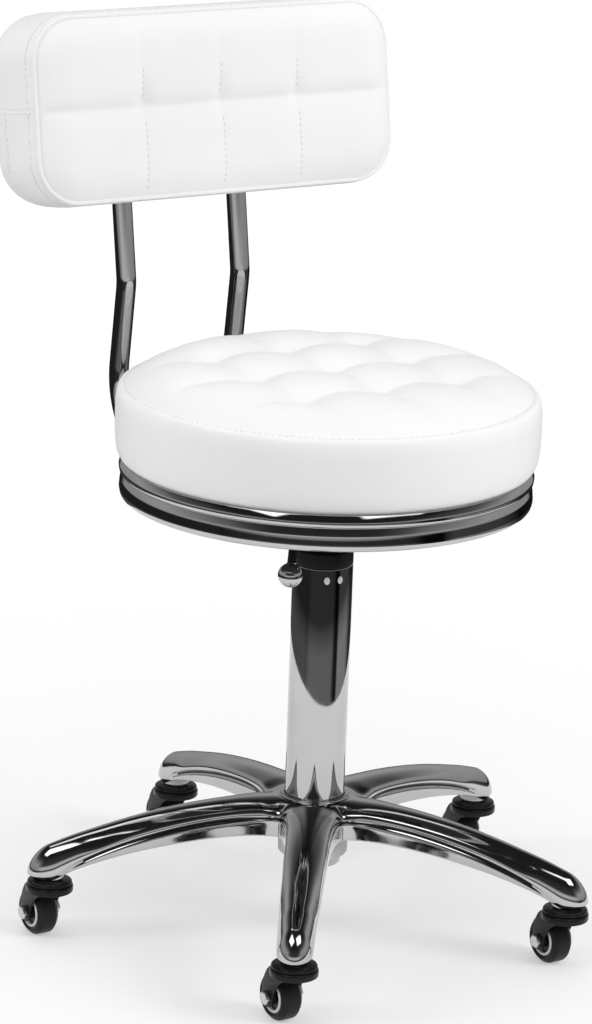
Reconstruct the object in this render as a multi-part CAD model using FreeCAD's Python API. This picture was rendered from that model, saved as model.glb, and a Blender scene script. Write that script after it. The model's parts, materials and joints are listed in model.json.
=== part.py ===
import FreeCAD, Part
import math
import os

# Salon stool with a round quilted seat, a padded backrest on two bent tubes,
# a gas lift and a five-arm base on swivel casters.
# Millimetres. The origin is on the floor under the column.
# +Z is up, +Y is to the back and +X is to the right seen from the front.

# Fits, running gaps, and how far a cut runs past the face that it opens
running_gap = 0.1
slip_gap = 0.2
seat_gap = 0.3
taper_gap = 0.05
overrun = 5.0

# Casters, the same five times
wheel_radius = 20.0
wheel_width = 20.0
wheel_tread_depth = 6.5
wheel_shoulder = 4.0
wheel_side_dish = 1.5
wheel_side_round = 1.5
wheel_tread_round = 3.0
wheel_boss_wall = 3.0
wheel_web_recess = 3.5
wheel_rim_wall = 2.0
wheel_rim_inset = 0.5
wheel_crown_gap = 3.4
caster_trail = 18.0
axle_radius = 3.0
axle_head_flats = 10.0
axle_head_height = 4.0
axle_nut_height = 5.0
axle_tail = 1.5
fork_thickness = 2.0
fork_clearance = 0.6
fork_crown_radius = 18.0
fork_crown_height = 6.5
fork_crown_plate = 3.0
fork_skirt = 2.4
fork_skirt_slope = 1.6
fork_skirt_round = 1.0
fork_shoulder_round = 2.5
fork_eye_radius = 7.5
fork_eye_start = 215.0
fork_leg_half_length = 13.0
fork_leg_overlap = 1.0
fork_hollow_back = 9.4
fork_hollow_rise = 10.9
fork_rear_rise = 4.0
caster_race_radius = 17.0
caster_race_height = 3.8
caster_race_round = 1.8
stem_neck_radius = 4.0
stem_radius = 5.5
stem_length = 18.0
stem_collar_radius = 8.0
stem_collar_height = 6.4
stem_head_radius = 6.5
stem_head_height = 2.2
stem_edge_round = 1.0

# Five-arm base
arm_count = 5
first_arm_angle = 90.0
stem_circle_radius = 224.0
arm_droop = 32.5
arm_flat_radius = 40.0
arm_root_half_width = 19.6
arm_nose_half_width = 14.8
arm_flare = 9.0
arm_flare_end = 80.0
arm_root_depth = 28.0
arm_nose_depth = 23.6
arm_wall = 3.4
arm_shoulder_rise = 1.6
arm_corner_share = 0.7
arm_section_count = 9
arm_section_crowding = 1.6
hollow_section_count = 6
groove_depth = 1.3
groove_height = 2.6
groove_ramp = 1.0
groove_root_share = 0.56
groove_nose_share = 0.42
rib_count = 3
rib_thickness = 2.6
rib_recess = 6.0
hub_rise = 1.5
hub_height = 52.0
hub_wall = 8.0
hub_neck_wall = 3.4
hub_neck_height = 6.0
hub_shoulder_drop = 14.0
hub_boss_wall = 4.0
hub_boss_height = 19.0
hub_step = 3.0
hub_round = 2.0
hub_edge_round = 0.8

# Gas lift
column_radius = 25.0
column_wall = 2.0
column_length = 260.0
column_stub = 8.0
column_taper = 0.025
column_floor = 4.0
column_edge_round = 0.8
bush_length = 62.0
bush_collar_height = 15.0
bush_collar_chamfer = 3.0
cylinder_radius = 14.0
cylinder_wall = 1.5
cylinder_taper_length = 16.0
cylinder_taper_drop = 0.8
cylinder_plug_length = 22.0
cylinder_edge_round = 0.5
gland_length = 24.0
gland_recess = 1.0
lift_stroke = 130.0
rod_radius = 5.0
rod_neck_step = 0.6
rod_tail = 2.0
rod_washer_thickness = 1.6
piston_length = 12.0
piston_neck_step = 1.0
piston_groove_depth = 1.5
piston_groove_width = 3.0
race_radius = 12.0
race_thickness = 2.0
ball_radius = 2.2
ball_count = 9
ball_circle_radius = 8.6
bump_stop_radius = 11.5
bump_stop_height = 12.0
clip_radius = 9.0
clip_thickness = 1.5
clip_groove_depth = 0.7

# Seat underframe
socket_gap_above_bush = 4.0
socket_height = 34.5
socket_wall = 6.0
socket_edge_round = 1.5
plate_thickness = 3.0
plate_half_length = 95.0
plate_corner = 10.0
plate_tube_gap = 2.1
plate_hole_gap = 1.0
plate_bolt_side_inset = 14.0
plate_bolt_end_inset = 17.0
bolt_radius = 4.0
bolt_head_flats = 13.0
bolt_head_height = 5.3
tee_barrel_wall = 1.2
tee_flange_width = 7.0
tee_flange = 1.5
tee_barrel_length = 10.0

# Seat board, ring and cushion
board_radius = 160.0
board_thickness = 15.0
board_centre_hole = 22.0
board_edge_round = 2.0
ring_height = 30.0
ring_wall = 3.3
ring_lip = 1.2
ring_lip_reach = 11.0
ring_lip_round = 4.0
ring_band_height = 15.9
ring_band_round = 3.0
ring_notch_depth = 2.4
ring_notch_round = 1.0
ring_shoulder_height = 4.6
ring_bead_height = 5.8
ring_bead_inset = 0.8
ring_bead_slope = 1.8
ring_bead_round = 2.2
ring_screw_count = 6
ring_screw_radius = 1.8
ring_screw_head_radius = 3.8
ring_screw_head_height = 2.0
ring_screw_length = 11.0
cushion_sleeve = 5.6
cushion_overhang = 5.1
cushion_seam_tuck = 3.1
cushion_side_height = 62.3
cushion_crown = 20.7
cushion_tuck_height = 2.5
cushion_tuck_round = 2.0
cushion_belly_start = 9.0
cushion_belly_round = 8.0
cushion_belly_drop = 11.0
cushion_shoulder_round = 20.0
cushion_seam_round = 1.5
cushion_top_wall = 5.8
cushion_lens_rise = 7.0
cushion_lens_inset = 24.0
cushion_lens_round = 30.0
foam_overhang = 2.5
quilt_pitch = 72.0
quilt_rows = 4
quilt_sphere_radius = 135.0
quilt_edge_fall = 13.5
quilt_root = 4.0
quilt_edge_inset = 3.0
quilt_edge_bevel = 9.0
quilt_edge_round = 12.0
quilt_slope_reach = 60.0

# Backrest tubes
tube_radius = 8.5
tube_wall = 1.5
tube_spacing = 113.2
tube_front_end = 20.0
tube_bend_radius = 64.0
tube_kink_radius = 40.0
tube_set_back = 64.8
tube_kink_rise = 135.5
tube_lower_lean = 7.1
tube_bolt_radius = 3.0
tube_bolt_flats = 10.0
tube_bolt_head = 4.0
tube_bolt_first = 48.0
tube_bolt_pitch = 80.0
tube_cap_length = 14.0
tube_cap_head = 2.5

# Backrest pad, measured in its own frame: across, up the pad, and depth behind the front seam
pad_lean = 9.0
pad_rise = 161.9
pad_seam_half_width = 173.0
pad_seam_half_height = 77.5
pad_bulge = 3.0
pad_corner_radius = 38.0
pad_back_inset = 19.0
pad_back_wall = 2.6
pad_crown = 11.0
pad_quilt_pitch = 75.0
pad_quilt_columns = 4
pad_quilt_sphere_radius = 230.0
pad_quilt_root = 2.0
pad_rim_inset = 3.0
pad_rim_least_corner = 10.0
pad_foam_front = 6.0
pad_foam_margin = 17.0
pad_board_front = 43.0
pad_board_thickness = 12.0
pad_tube_top = 45.0
pad_screw_low = -34.0
pad_screw_pitch = 60.0
pad_screw_radius = 2.5
pad_screw_head_radius = 5.0
pad_screw_head_height = 3.0
pad_screw_cover = 1.0

# Release lever
lever_angle = -138.2
lever_drop = 11.2
lever_pivot_reach = 11.0
lever_pivot_pin_radius = 2.5
lever_pivot_stand = 1.0
lever_rod_radius = 3.5
lever_eye_half_width = 4.0
lever_eye_height = 10.0
lever_eye_length = 15.0
lever_ear_thickness = 3.0
lever_ear_drop = 5.5
lever_ear_root = 4.0
lever_finger_half_width = 3.5
lever_finger_overrun = 5.0
lever_finger_gap = 2.0
lever_arm_length = 61.5
lever_bend_radius = 13.0
lever_ball_offset = 7.5
lever_ball_drop = 26.5
lever_ball_radius = 10.0
lever_ball_socket = 4.0
release_pin_radius = 2.5
release_pin_rise = 4.2
release_pin_length = 18.0

# Heights that follow from the floor up
caster_height = 2 * wheel_radius + wheel_crown_gap + fork_crown_height + seat_gap + caster_race_height
crown_top = caster_height - caster_race_height - seat_gap
nose_floor = caster_height + stem_collar_height
arm_crest_height = nose_floor + arm_nose_depth + arm_droop
hub_top = arm_crest_height + hub_rise
hub_bottom = hub_top - hub_height
hub_boss_top = hub_bottom + hub_boss_height
column_bottom = hub_bottom - column_stub
column_top = column_bottom + column_length
bush_top = column_top + bush_collar_height
floor_top = column_bottom + column_floor
lower_race_top = floor_top + race_thickness
upper_race_bottom = lower_race_top + 2 * (ball_radius + running_gap)
upper_race_top = upper_race_bottom + race_thickness
bump_stop_top = upper_race_top + bump_stop_height
cylinder_rest_bottom = bump_stop_top + seat_gap
gland_top = cylinder_rest_bottom + gland_length
piston_bottom = gland_top + lift_stroke + running_gap
washer_top = column_bottom - slip_gap
clip_top = washer_top - rod_washer_thickness - slip_gap
clip_bottom = clip_top - clip_thickness
socket_bottom = bush_top + socket_gap_above_bush
plate_bottom = socket_bottom + socket_height
plate_top = plate_bottom + plate_thickness
lever_height = plate_bottom - lever_drop
lever_ball_height = lever_height - lever_ball_drop
cylinder_top = lever_height - lever_rod_radius - seat_gap - release_pin_rise
board_bottom = plate_top
board_top = board_bottom + board_thickness
ring_bottom = board_bottom
ring_top = ring_bottom + ring_height
seam_height = ring_top + cushion_side_height
crown_height = seam_height + cushion_crown
foam_top = seam_height - cushion_top_wall
tube_run_height = ring_bottom - tube_radius - seat_gap
tube_kink_height = ring_bottom + tube_kink_rise

# Radii and reaches that follow from what they fit
wheel_core_radius = wheel_radius - wheel_tread_depth
fork_inner = wheel_width / 2 + fork_clearance
hub_radius = column_radius + hub_wall
hub_neck_radius = column_radius + hub_neck_wall
hub_boss_radius = column_radius + hub_boss_wall
rod_neck_radius = rod_radius - rod_neck_step
clip_groove_radius = rod_neck_radius - clip_groove_depth
piston_neck_radius = rod_radius - piston_neck_step
cylinder_bore = cylinder_radius - cylinder_wall
socket_radius = cylinder_radius + socket_wall
plate_half_width = tube_spacing / 2 - tube_radius - plate_tube_gap
ring_inner_radius = board_radius + cushion_sleeve + 2 * seat_gap
ring_radius = ring_inner_radius + ring_wall
ring_lip_inner_radius = board_radius - ring_lip_reach
ring_screw_circle = (ring_lip_inner_radius + board_radius) / 2
cushion_radius = ring_radius + cushion_overhang
seam_radius = cushion_radius - cushion_seam_tuck
foam_radius = board_radius + foam_overhang
tube_kink_y = ring_radius + tube_set_back
pad_tube_depth = pad_board_front + pad_board_thickness + running_gap + tube_radius
pad_thickness = pad_tube_depth + tube_radius + pad_screw_head_height + seat_gap + pad_back_wall
lever_pivot_radius = socket_radius + lever_pivot_reach
lever_bend_reach = lever_pivot_radius + lever_arm_length
lever_ball_reach = lever_bend_reach + lever_ball_offset
origin = FreeCAD.Vector(0, 0, 0)
up = FreeCAD.Vector(0, 0, 1)
across = FreeCAD.Vector(1, 0, 0)
backwards = FreeCAD.Vector(0, 1, 0)
box_corners = ((-1, -1), (1, -1), (1, 1), (-1, 1))


def vec(x, y, z):
    return FreeCAD.Vector(x, y, z)


def keep(name, *solids):
    shape = solids[0] if len(solids) == 1 else Part.makeCompound(list(solids))
    shape.exportStep("parts/" + name + ".step")


# Edges through corner points, with a tangent arc of the given radius at each corner that has one
def rounded_edges(points, radii, closed):
    count = len(points)
    entries = []
    exits = []
    arcs = []
    for i in range(count):
        here = points[i]
        inner = closed or 0 < i < count - 1
        if not inner or radii[i] == 0:
            entries.append(here)
            exits.append(here)
            arcs.append(None)
            continue
        to_last = (points[i - 1] - here).normalize()
        to_next = (points[(i + 1) % count] - here).normalize()
        half_angle = to_last.getAngle(to_next) / 2
        reach = radii[i] / math.tan(half_angle)
        inward = (to_last + to_next).normalize()
        entries.append(here + to_last * reach)
        exits.append(here + to_next * reach)
        middle = here + inward * (radii[i] / math.sin(half_angle) - radii[i])
        arcs.append(Part.Arc(entries[i], middle, exits[i]))
    edges = []
    for i in range(count):
        if arcs[i]:
            edges.append(arcs[i].toShape())
        if i == count - 1 and not closed:
            break
        goal = entries[(i + 1) % count]
        if (goal - exits[i]).Length > 1e-6:
            edges.append(Part.LineSegment(exits[i], goal).toShape())
    return edges


def line_edges(points):
    return [Part.LineSegment(a, b).toShape() for a, b in zip(points, points[1:])]


# Closed face in the XZ plane from corners (x, z) or (x, z, corner radius)
def profile(corners):
    points = [vec(corner[0], 0, corner[1]) for corner in corners]
    radii = [corner[2] if len(corner) > 2 else 0 for corner in corners]
    return Part.Face(Part.Wire(rounded_edges(points, radii, True)))


def turned(corners):
    return profile(corners).revolve(origin, up, 360)


def ring_solid(inner, outer, bottom, top):
    return turned([(inner, bottom), (outer, bottom), (outer, top), (inner, top)])


def rod(radius, start, end):
    return Part.makeCylinder(radius, (end - start).Length, start, end - start)


def upright(radius, x, y, bottom, top):
    return rod(radius, vec(x, y, bottom), vec(x, y, top))


def hexagon(flats, height, base, direction):
    corner_radius = flats / math.sqrt(3)
    angles = [i * math.pi / 3 for i in range(6)]
    corners = [vec(corner_radius * math.cos(a), corner_radius * math.sin(a), 0) for a in angles]
    prism = Part.Face(Part.makePolygon(corners + corners[:1])).extrude(vec(0, 0, height))
    prism.Placement = FreeCAD.Placement(base, FreeCAD.Rotation(up, direction))
    return prism


def swept(path_edges, radius):
    wire = Part.Wire(path_edges)
    start = wire.OrderedVertexes[0].Point
    first = wire.OrderedEdges[0]
    tangent = first.tangentAt(first.FirstParameter)
    circle = Part.Wire(Part.makeCircle(radius, start, tangent))
    return wire.makePipeShell([circle], True, False)


def rounded_rectangle(half_width, half_height, corner, depth):
    points = [vec(sx * half_width, depth, sz * half_height) for sx, sz in box_corners]
    return Part.Wire(rounded_edges(points, [corner] * 4, True))


def rounded_plate(half_width, half_length, corner, bottom, top):
    points = [vec(sx * half_width, sy * half_length, bottom) for sx, sy in box_corners]
    return Part.Face(Part.Wire(rounded_edges(points, [corner] * 4, True))).extrude(vec(0, 0, top - bottom))


def turned_about_z(shape, angle):
    copy = shape.copy()
    copy.rotate(origin, up, angle)
    return copy


def moved(shape, offset):
    copy = shape.copy()
    copy.translate(offset)
    return copy


# Middle places of a row of cells, counted in cells from the row's centre
def cell_steps(count):
    return [i - (count - 1) / 2 for i in range(count)]


# Five-arm base: arched, tapering arms that flare into the hub, hollow below, with a fading side groove

def arm_share(radius):
    return max(0, radius - arm_flat_radius) / (stem_circle_radius - arm_flat_radius)


def arm_crest(radius):
    return arm_crest_height - arm_droop * arm_share(radius) ** 2


def arm_depth(radius):
    return arm_root_depth + (arm_nose_depth - arm_root_depth) * arm_share(radius)


def arm_half_width(radius):
    taper = arm_root_half_width + (arm_nose_half_width - arm_root_half_width) * arm_share(radius)
    flare_share = max(0, arm_flare_end - radius) / (arm_flare_end - column_radius)
    return taper + arm_flare * flare_share ** 2


def arm_groove_height(radius):
    share = groove_root_share + (groove_nose_share - groove_root_share) * arm_share(radius)
    return arm_crest(radius) - arm_depth(radius) * (1 - share)


def arm_shoulder(radius):
    return arm_groove_height(radius) + groove_height / 2 + arm_shoulder_rise


# Points of a three-centre arch from the right shoulder to the top: the shoulder, the middle of the corner arc,
# where the corner meets the crown, the middle of the half crown, and the top
def arch_points(half, shoulder, crest):
    rise = crest - shoulder
    corner = arm_corner_share * rise
    inner = half - corner
    crown = (inner ** 2 + rise ** 2 - corner ** 2) / (2 * (rise - corner))
    turn = math.asin(inner / (crown - corner))

    def on_corner(angle):
        return inner + corner * math.sin(angle), shoulder + corner * math.cos(angle)

    def on_crown(angle):
        return crown * math.sin(angle), crest - crown * (1 - math.cos(angle))

    return [(half, shoulder), on_corner((math.pi / 2 + turn) / 2), on_corner(turn), on_crown(turn / 2), (0, crest)]


def arch_edges(radius, half, shoulder, crest):
    flank, flank_middle, joint, crown_middle, top = arch_points(half, shoulder, crest)

    def right(point):
        return vec(radius, point[0], point[1])

    def left(point):
        return vec(radius, -point[0], point[1])

    arcs = [Part.Arc(right(flank), right(flank_middle), right(joint)),
            Part.Arc(right(joint), right(top), left(joint)),
            Part.Arc(left(joint), left(flank_middle), left(flank))]
    return [arc.toShape() for arc in arcs]


def arm_section(radius):
    half = arm_half_width(radius)
    bottom = arm_crest(radius) - arm_depth(radius)
    groove_low = arm_groove_height(radius) - groove_height / 2
    groove_high = groove_low + groove_height
    depth = groove_depth * math.sin(math.pi * arm_share(radius))
    side = [(half, bottom), (half, groove_low - groove_ramp), (half - depth, groove_low),
            (half - depth, groove_high), (half, groove_high + groove_ramp), (half, arm_shoulder(radius))]
    right = [vec(radius, y, z) for y, z in side]
    left = [vec(radius, -y, z) for y, z in reversed(side)]
    arch = arch_edges(radius, half, arm_shoulder(radius), arm_crest(radius))
    return Part.Wire(line_edges(right) + arch + line_edges(left + right[:1]))


def arm_hollow_section(radius):
    half = arm_half_width(radius) - arm_wall
    crest = arm_crest(radius) - arm_wall
    below = crest - arm_depth(radius)
    shoulder = arm_shoulder(radius) - arm_wall / 2
    right = [vec(radius, half, below), vec(radius, half, shoulder)]
    left = [vec(radius, -half, shoulder), vec(radius, -half, below)]
    return Part.Wire(line_edges(right) + arch_edges(radius, half, shoulder, crest) + line_edges(left + right[:1]))


# Places from first to last that crowd towards the first as the power rises
def arm_stations(first, last, count, crowding):
    return [first + (last - first) * (i / (count - 1)) ** crowding for i in range(count)]


# Round end of the arm: half of its last section turned about the caster stem
def arm_nose():
    half = arm_nose_half_width
    arch = arch_points(half, arm_shoulder(stem_circle_radius), arm_crest(stem_circle_radius))
    flank, flank_middle, joint, crown_middle, top = [vec(0, y, z) for y, z in arch]
    arcs = [Part.Arc(flank, flank_middle, joint).toShape(), Part.Arc(joint, crown_middle, top).toShape()]
    walls = line_edges([top, vec(0, 0, nose_floor), vec(0, half, nose_floor), flank])
    nose = Part.Face(Part.Wire(arcs + walls)).revolve(origin, up, -180)
    return moved(nose, vec(stem_circle_radius, 0, 0))


def arm_rib(radius, hollow):
    low = arm_crest(radius) - arm_depth(radius) + rib_recess
    width = 2 * arm_half_width(radius)
    corner = vec(radius - rib_thickness / 2, -width / 2, low)
    return Part.makeBox(rib_thickness, width, arm_depth(radius), corner).common(hollow)


def column_outer_radius(height):
    return column_radius - column_taper * max(0, hub_top - height)


def arm_solid():
    stations = arm_stations(column_radius / 2, stem_circle_radius, arm_section_count, arm_section_crowding)
    outer = Part.makeLoft([arm_section(r) for r in stations], True, False)
    hollow_start = hub_radius + arm_wall
    hollow_end = stem_circle_radius - arm_nose_half_width
    hollow_stations = arm_stations(hollow_start, hollow_end, hollow_section_count, 1)
    hollow = Part.makeLoft([arm_hollow_section(r) for r in hollow_stations], True, False)
    arm = outer.fuse(arm_nose()).cut(hollow)
    for radius in arm_stations(hollow_start, hollow_end, rib_count + 2, 1)[1:-1]:
        arm = arm.fuse(arm_rib(radius, hollow))
    return arm.cut(upright(stem_radius + running_gap, stem_circle_radius, 0, nose_floor - overrun,
                           nose_floor + stem_length + slip_gap))


def hub_solid(inside):
    return turned([(inside, hub_bottom), (hub_boss_radius, hub_bottom, hub_round),
                   (hub_boss_radius, hub_boss_top, hub_round), (hub_radius, hub_boss_top + hub_step, hub_round),
                   (hub_radius, hub_top - hub_shoulder_drop, hub_round),
                   (hub_neck_radius, hub_top - hub_neck_height, hub_round),
                   (hub_neck_radius, hub_top, hub_edge_round), (inside, hub_top)])


# One arm's share of the full circle, from the axis outwards
def arm_wedge():
    reach = stem_circle_radius + 2 * arm_nose_half_width
    side = reach * math.tan(math.pi / arm_count)
    corners = [origin, vec(reach, -side, 0), vec(reach, side, 0), origin]
    return Part.Face(Part.makePolygon(corners)).extrude(vec(0, 0, hub_top + overrun))


def star_base():
    top_bore = column_outer_radius(hub_top) + taper_gap
    low_bore = column_outer_radius(hub_bottom) + taper_gap
    sector = arm_solid().fuse(hub_solid(low_bore - overrun)).common(arm_wedge())
    sectors = [turned_about_z(sector, first_arm_angle + i * 360 / arm_count) for i in range(arm_count)]
    bore = turned([(0, hub_bottom), (low_bore, hub_bottom), (top_bore, hub_top), (top_bore, hub_top + overrun),
                   (0, hub_top + overrun)])
    return sectors[0].multiFuse(sectors[1:]).cut(bore).removeSplitter()


# Column, guide bush and gas lift

def column_tube():
    foot = column_outer_radius(column_bottom)
    inner = column_radius - column_wall
    rod_hole = rod_neck_radius + slip_gap
    return turned([(rod_hole, column_bottom), (foot, column_bottom, column_edge_round),
                   (column_radius, hub_top), (column_radius, column_top, column_edge_round),
                   (inner, column_top), (inner, hub_top),
                   (foot - column_wall, floor_top), (rod_hole, floor_top)])


def guide_bush():
    bore = cylinder_radius + running_gap
    body = column_radius - column_wall - running_gap
    low = column_top - bush_length
    return turned([(bore, low), (body, low), (body, column_top), (column_radius, column_top),
                   (column_radius, bush_top - bush_collar_chamfer),
                   (column_radius - bush_collar_chamfer, bush_top),
                   (bore, bush_top)])


def bearing_balls():
    height = lower_race_top + running_gap + ball_radius
    balls = []
    for i in range(ball_count):
        angle = 2 * math.pi * i / ball_count
        centre = vec(ball_circle_radius * math.cos(angle), ball_circle_radius * math.sin(angle), height)
        balls.append(Part.makeSphere(ball_radius, centre))
    return balls


def piston_rod():
    low = clip_bottom - rod_tail
    groove_top = clip_top + running_gap
    groove_bottom = clip_bottom - running_gap
    piston_top = piston_bottom + piston_length
    return turned([(0, low), (rod_neck_radius, low), (rod_neck_radius, groove_bottom),
                   (clip_groove_radius, groove_bottom), (clip_groove_radius, groove_top),
                   (rod_neck_radius, groove_top), (rod_neck_radius, upper_race_top), (rod_radius, upper_race_top),
                   (rod_radius, piston_bottom), (piston_neck_radius, piston_bottom),
                   (piston_neck_radius, piston_top), (0, piston_top)])


def piston_head():
    bore = piston_neck_radius + running_gap
    outer = cylinder_bore - running_gap
    groove = outer - piston_groove_depth
    low = piston_bottom + running_gap
    top = piston_bottom + piston_length
    groove_low = (low + top - piston_groove_width) / 2
    groove_top = groove_low + piston_groove_width
    return turned([(bore, low), (outer, low), (outer, groove_low), (groove, groove_low), (groove, groove_top),
                   (outer, groove_top), (outer, top), (bore, top)])


def rod_clip():
    ring = ring_solid(clip_groove_radius + running_gap, clip_radius, clip_bottom, clip_top)
    mouth = Part.makeBox(2 * clip_groove_radius, clip_radius + overrun, clip_thickness,
                         vec(-clip_groove_radius, 0, clip_bottom))
    return ring.cut(mouth)


def cylinder_outer_radius(height):
    start = cylinder_top - cylinder_taper_length
    return cylinder_radius - cylinder_taper_drop * max(0, height - start) / cylinder_taper_length


def pressure_cylinder():
    taper_start = cylinder_top - cylinder_taper_length
    tip = cylinder_outer_radius(cylinder_top)
    plug = cylinder_top - cylinder_plug_length
    hole = release_pin_radius + running_gap
    return turned([(cylinder_bore, cylinder_rest_bottom),
                   (cylinder_radius, cylinder_rest_bottom, cylinder_edge_round),
                   (cylinder_radius, taper_start), (tip, cylinder_top, cylinder_edge_round),
                   (hole, cylinder_top), (hole, plug), (cylinder_bore, plug)])


def release_pin():
    top = cylinder_top + release_pin_rise
    centre = top - release_pin_radius
    body = upright(release_pin_radius, 0, 0, top - release_pin_length, centre)
    return body.fuse(Part.makeSphere(release_pin_radius, vec(0, 0, centre))).removeSplitter()


# Seat underframe: socket with lever ears, plate, board, bolts

def lever_place(shape):
    return turned_about_z(shape, lever_angle)


def plate_socket():
    taper_start = cylinder_top - cylinder_taper_length
    tip_bore = cylinder_outer_radius(cylinder_top) + taper_gap
    body = turned([(socket_radius, socket_bottom, socket_edge_round), (socket_radius, plate_bottom),
                   (tip_bore, plate_bottom), (tip_bore, cylinder_top),
                   (cylinder_outer_radius(taper_start) + taper_gap, taper_start),
                   (cylinder_outer_radius(socket_bottom) + taper_gap, socket_bottom)])
    ear_inner = lever_eye_half_width + seat_gap
    ear_start = socket_radius - lever_ear_root
    ear_length = lever_pivot_radius + lever_eye_length / 2 - ear_start
    ear_bottom = lever_height - lever_ear_drop
    for inner_face in (ear_inner, -ear_inner - lever_ear_thickness):
        ear = Part.makeBox(ear_length, lever_ear_thickness, plate_bottom - ear_bottom,
                           vec(ear_start, inner_face, ear_bottom))
        body = body.fuse(lever_place(ear))
    slot_height = plate_bottom - cylinder_top + overrun
    slot = Part.makeBox(lever_pivot_radius + lever_eye_length, 2 * ear_inner, slot_height,
                        vec(-lever_finger_overrun - lever_finger_gap, -ear_inner, cylinder_top))
    pin_hole = rod(lever_pivot_pin_radius + running_gap / 2,
                   vec(lever_pivot_radius, -socket_radius, lever_height),
                   vec(lever_pivot_radius, socket_radius, lever_height))
    return body.cut(lever_place(slot)).cut(lever_place(pin_hole)).removeSplitter()


def plate_bolt_places():
    x = plate_half_width - plate_bolt_side_inset
    y = plate_half_length - plate_bolt_end_inset
    return [(sx * x, sy * y) for sx, sy in box_corners]


def tube_bolt_places():
    return [(x, tube_bolt_first + i * tube_bolt_pitch) for x in tube_sides() for i in (0, 1)]


def seat_plate():
    plate = rounded_plate(plate_half_width, plate_half_length, plate_corner, plate_bottom, plate_top)
    plate = plate.cut(upright(cylinder_radius + plate_hole_gap, 0, 0, plate_bottom, plate_top))
    for x, y in plate_bolt_places():
        plate = plate.cut(upright(bolt_radius + seat_gap, x, y, plate_bottom, plate_top))
    return plate


def tee_nut(x, y, screw_radius):
    flange_bottom = board_top - tee_flange
    hole = screw_radius + running_gap
    barrel = upright(hole + tee_barrel_wall, x, y, flange_bottom - tee_barrel_length, board_top)
    flange = upright(hole + tee_flange_width, x, y, flange_bottom, board_top)
    return barrel.fuse(flange).cut(upright(hole, x, y, board_bottom, board_top + overrun))


def tee_nut_seat(x, y, screw_radius):
    hole = screw_radius + 2 * running_gap
    barrel = upright(hole + tee_barrel_wall, x, y, board_bottom, board_top)
    flange = upright(hole + tee_flange_width, x, y, board_top - tee_flange - running_gap, board_top)
    return barrel.fuse(flange)


def hex_bolt(x, y, radius, flats, head_height, under_head):
    head = hexagon(flats, head_height, vec(x, y, under_head - head_height), up)
    shank = upright(radius, x, y, under_head - head_height / 2, board_top - tee_flange)
    return head.fuse(shank).removeSplitter()


def seat_bolts():
    return [hex_bolt(x, y, bolt_radius, bolt_head_flats, bolt_head_height, plate_bottom)
            for x, y in plate_bolt_places()]


def tube_bolts():
    under_head = tube_run_height - tube_radius - running_gap
    return [hex_bolt(x, y, tube_bolt_radius, tube_bolt_flats, tube_bolt_head, under_head)
            for x, y in tube_bolt_places()]


def ring_screw_places():
    angles = [2 * math.pi * (i + 0.5) / ring_screw_count for i in range(ring_screw_count)]
    return [(ring_screw_circle * math.cos(a), ring_screw_circle * math.sin(a)) for a in angles]


def seat_board():
    rebate = board_bottom + ring_lip + running_gap
    inside_lip = ring_lip_inner_radius - seat_gap
    board = turned([(board_centre_hole, board_bottom), (inside_lip, board_bottom), (inside_lip, rebate),
                    (board_radius, rebate), (board_radius, board_top, board_edge_round),
                    (board_centre_hole, board_top)])
    for x, y in plate_bolt_places():
        board = board.cut(tee_nut_seat(x, y, bolt_radius))
    for x, y in tube_bolt_places():
        board = board.cut(tee_nut_seat(x, y, tube_bolt_radius))
    for x, y in ring_screw_places():
        board = board.cut(upright(ring_screw_radius + running_gap, x, y, board_bottom,
                                  board_bottom + ring_screw_length + seat_gap))
    return board


def seat_ring():
    band_top = ring_bottom + ring_band_height
    neck = ring_radius - ring_notch_depth
    bead = ring_radius - ring_bead_inset
    bead_bottom = ring_top - ring_bead_height
    lip_top = ring_bottom + ring_lip
    ring = turned([(ring_lip_inner_radius, ring_bottom), (ring_radius, ring_bottom, ring_lip_round),
                   (ring_radius, band_top, ring_band_round),
                   (neck, band_top + ring_shoulder_height, ring_notch_round),
                   (neck, bead_bottom - ring_bead_slope, ring_notch_round),
                   (bead, bead_bottom, ring_notch_round), (bead, ring_top, ring_bead_round),
                   (ring_inner_radius, ring_top), (ring_inner_radius, lip_top), (ring_lip_inner_radius, lip_top)])
    for x, y in ring_screw_places():
        ring = ring.cut(upright(ring_screw_radius + slip_gap, x, y, ring_bottom, lip_top))
    return ring


def ring_screws():
    screws = []
    for x, y in ring_screw_places():
        head = upright(ring_screw_head_radius, x, y, ring_bottom - ring_screw_head_height, ring_bottom)
        shank = upright(ring_screw_radius, x, y, ring_bottom - ring_screw_head_height / 2,
                        ring_bottom + ring_screw_length)
        screws.append(head.fuse(shank).removeSplitter())
    return screws


# Seat cushion: boxed side, seam near the top rim and a crowned top quilted in squares

def quilt_crest(x, y):
    outermost = (quilt_rows - 1) / 2 * quilt_pitch * math.sqrt(2)
    return crown_height - quilt_edge_fall * (math.hypot(x, y) / outermost) ** 4


def quilt_pillow(x, y):
    crest = quilt_crest(x, y)
    floor = seam_height - quilt_root
    sphere = Part.makeSphere(quilt_sphere_radius, vec(x, y, crest - quilt_sphere_radius))
    block = Part.makeBox(2 * quilt_pitch, 2 * quilt_pitch, crest - floor + overrun,
                         vec(x - quilt_pitch, y - quilt_pitch, floor))
    return sphere.common(block)


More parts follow.
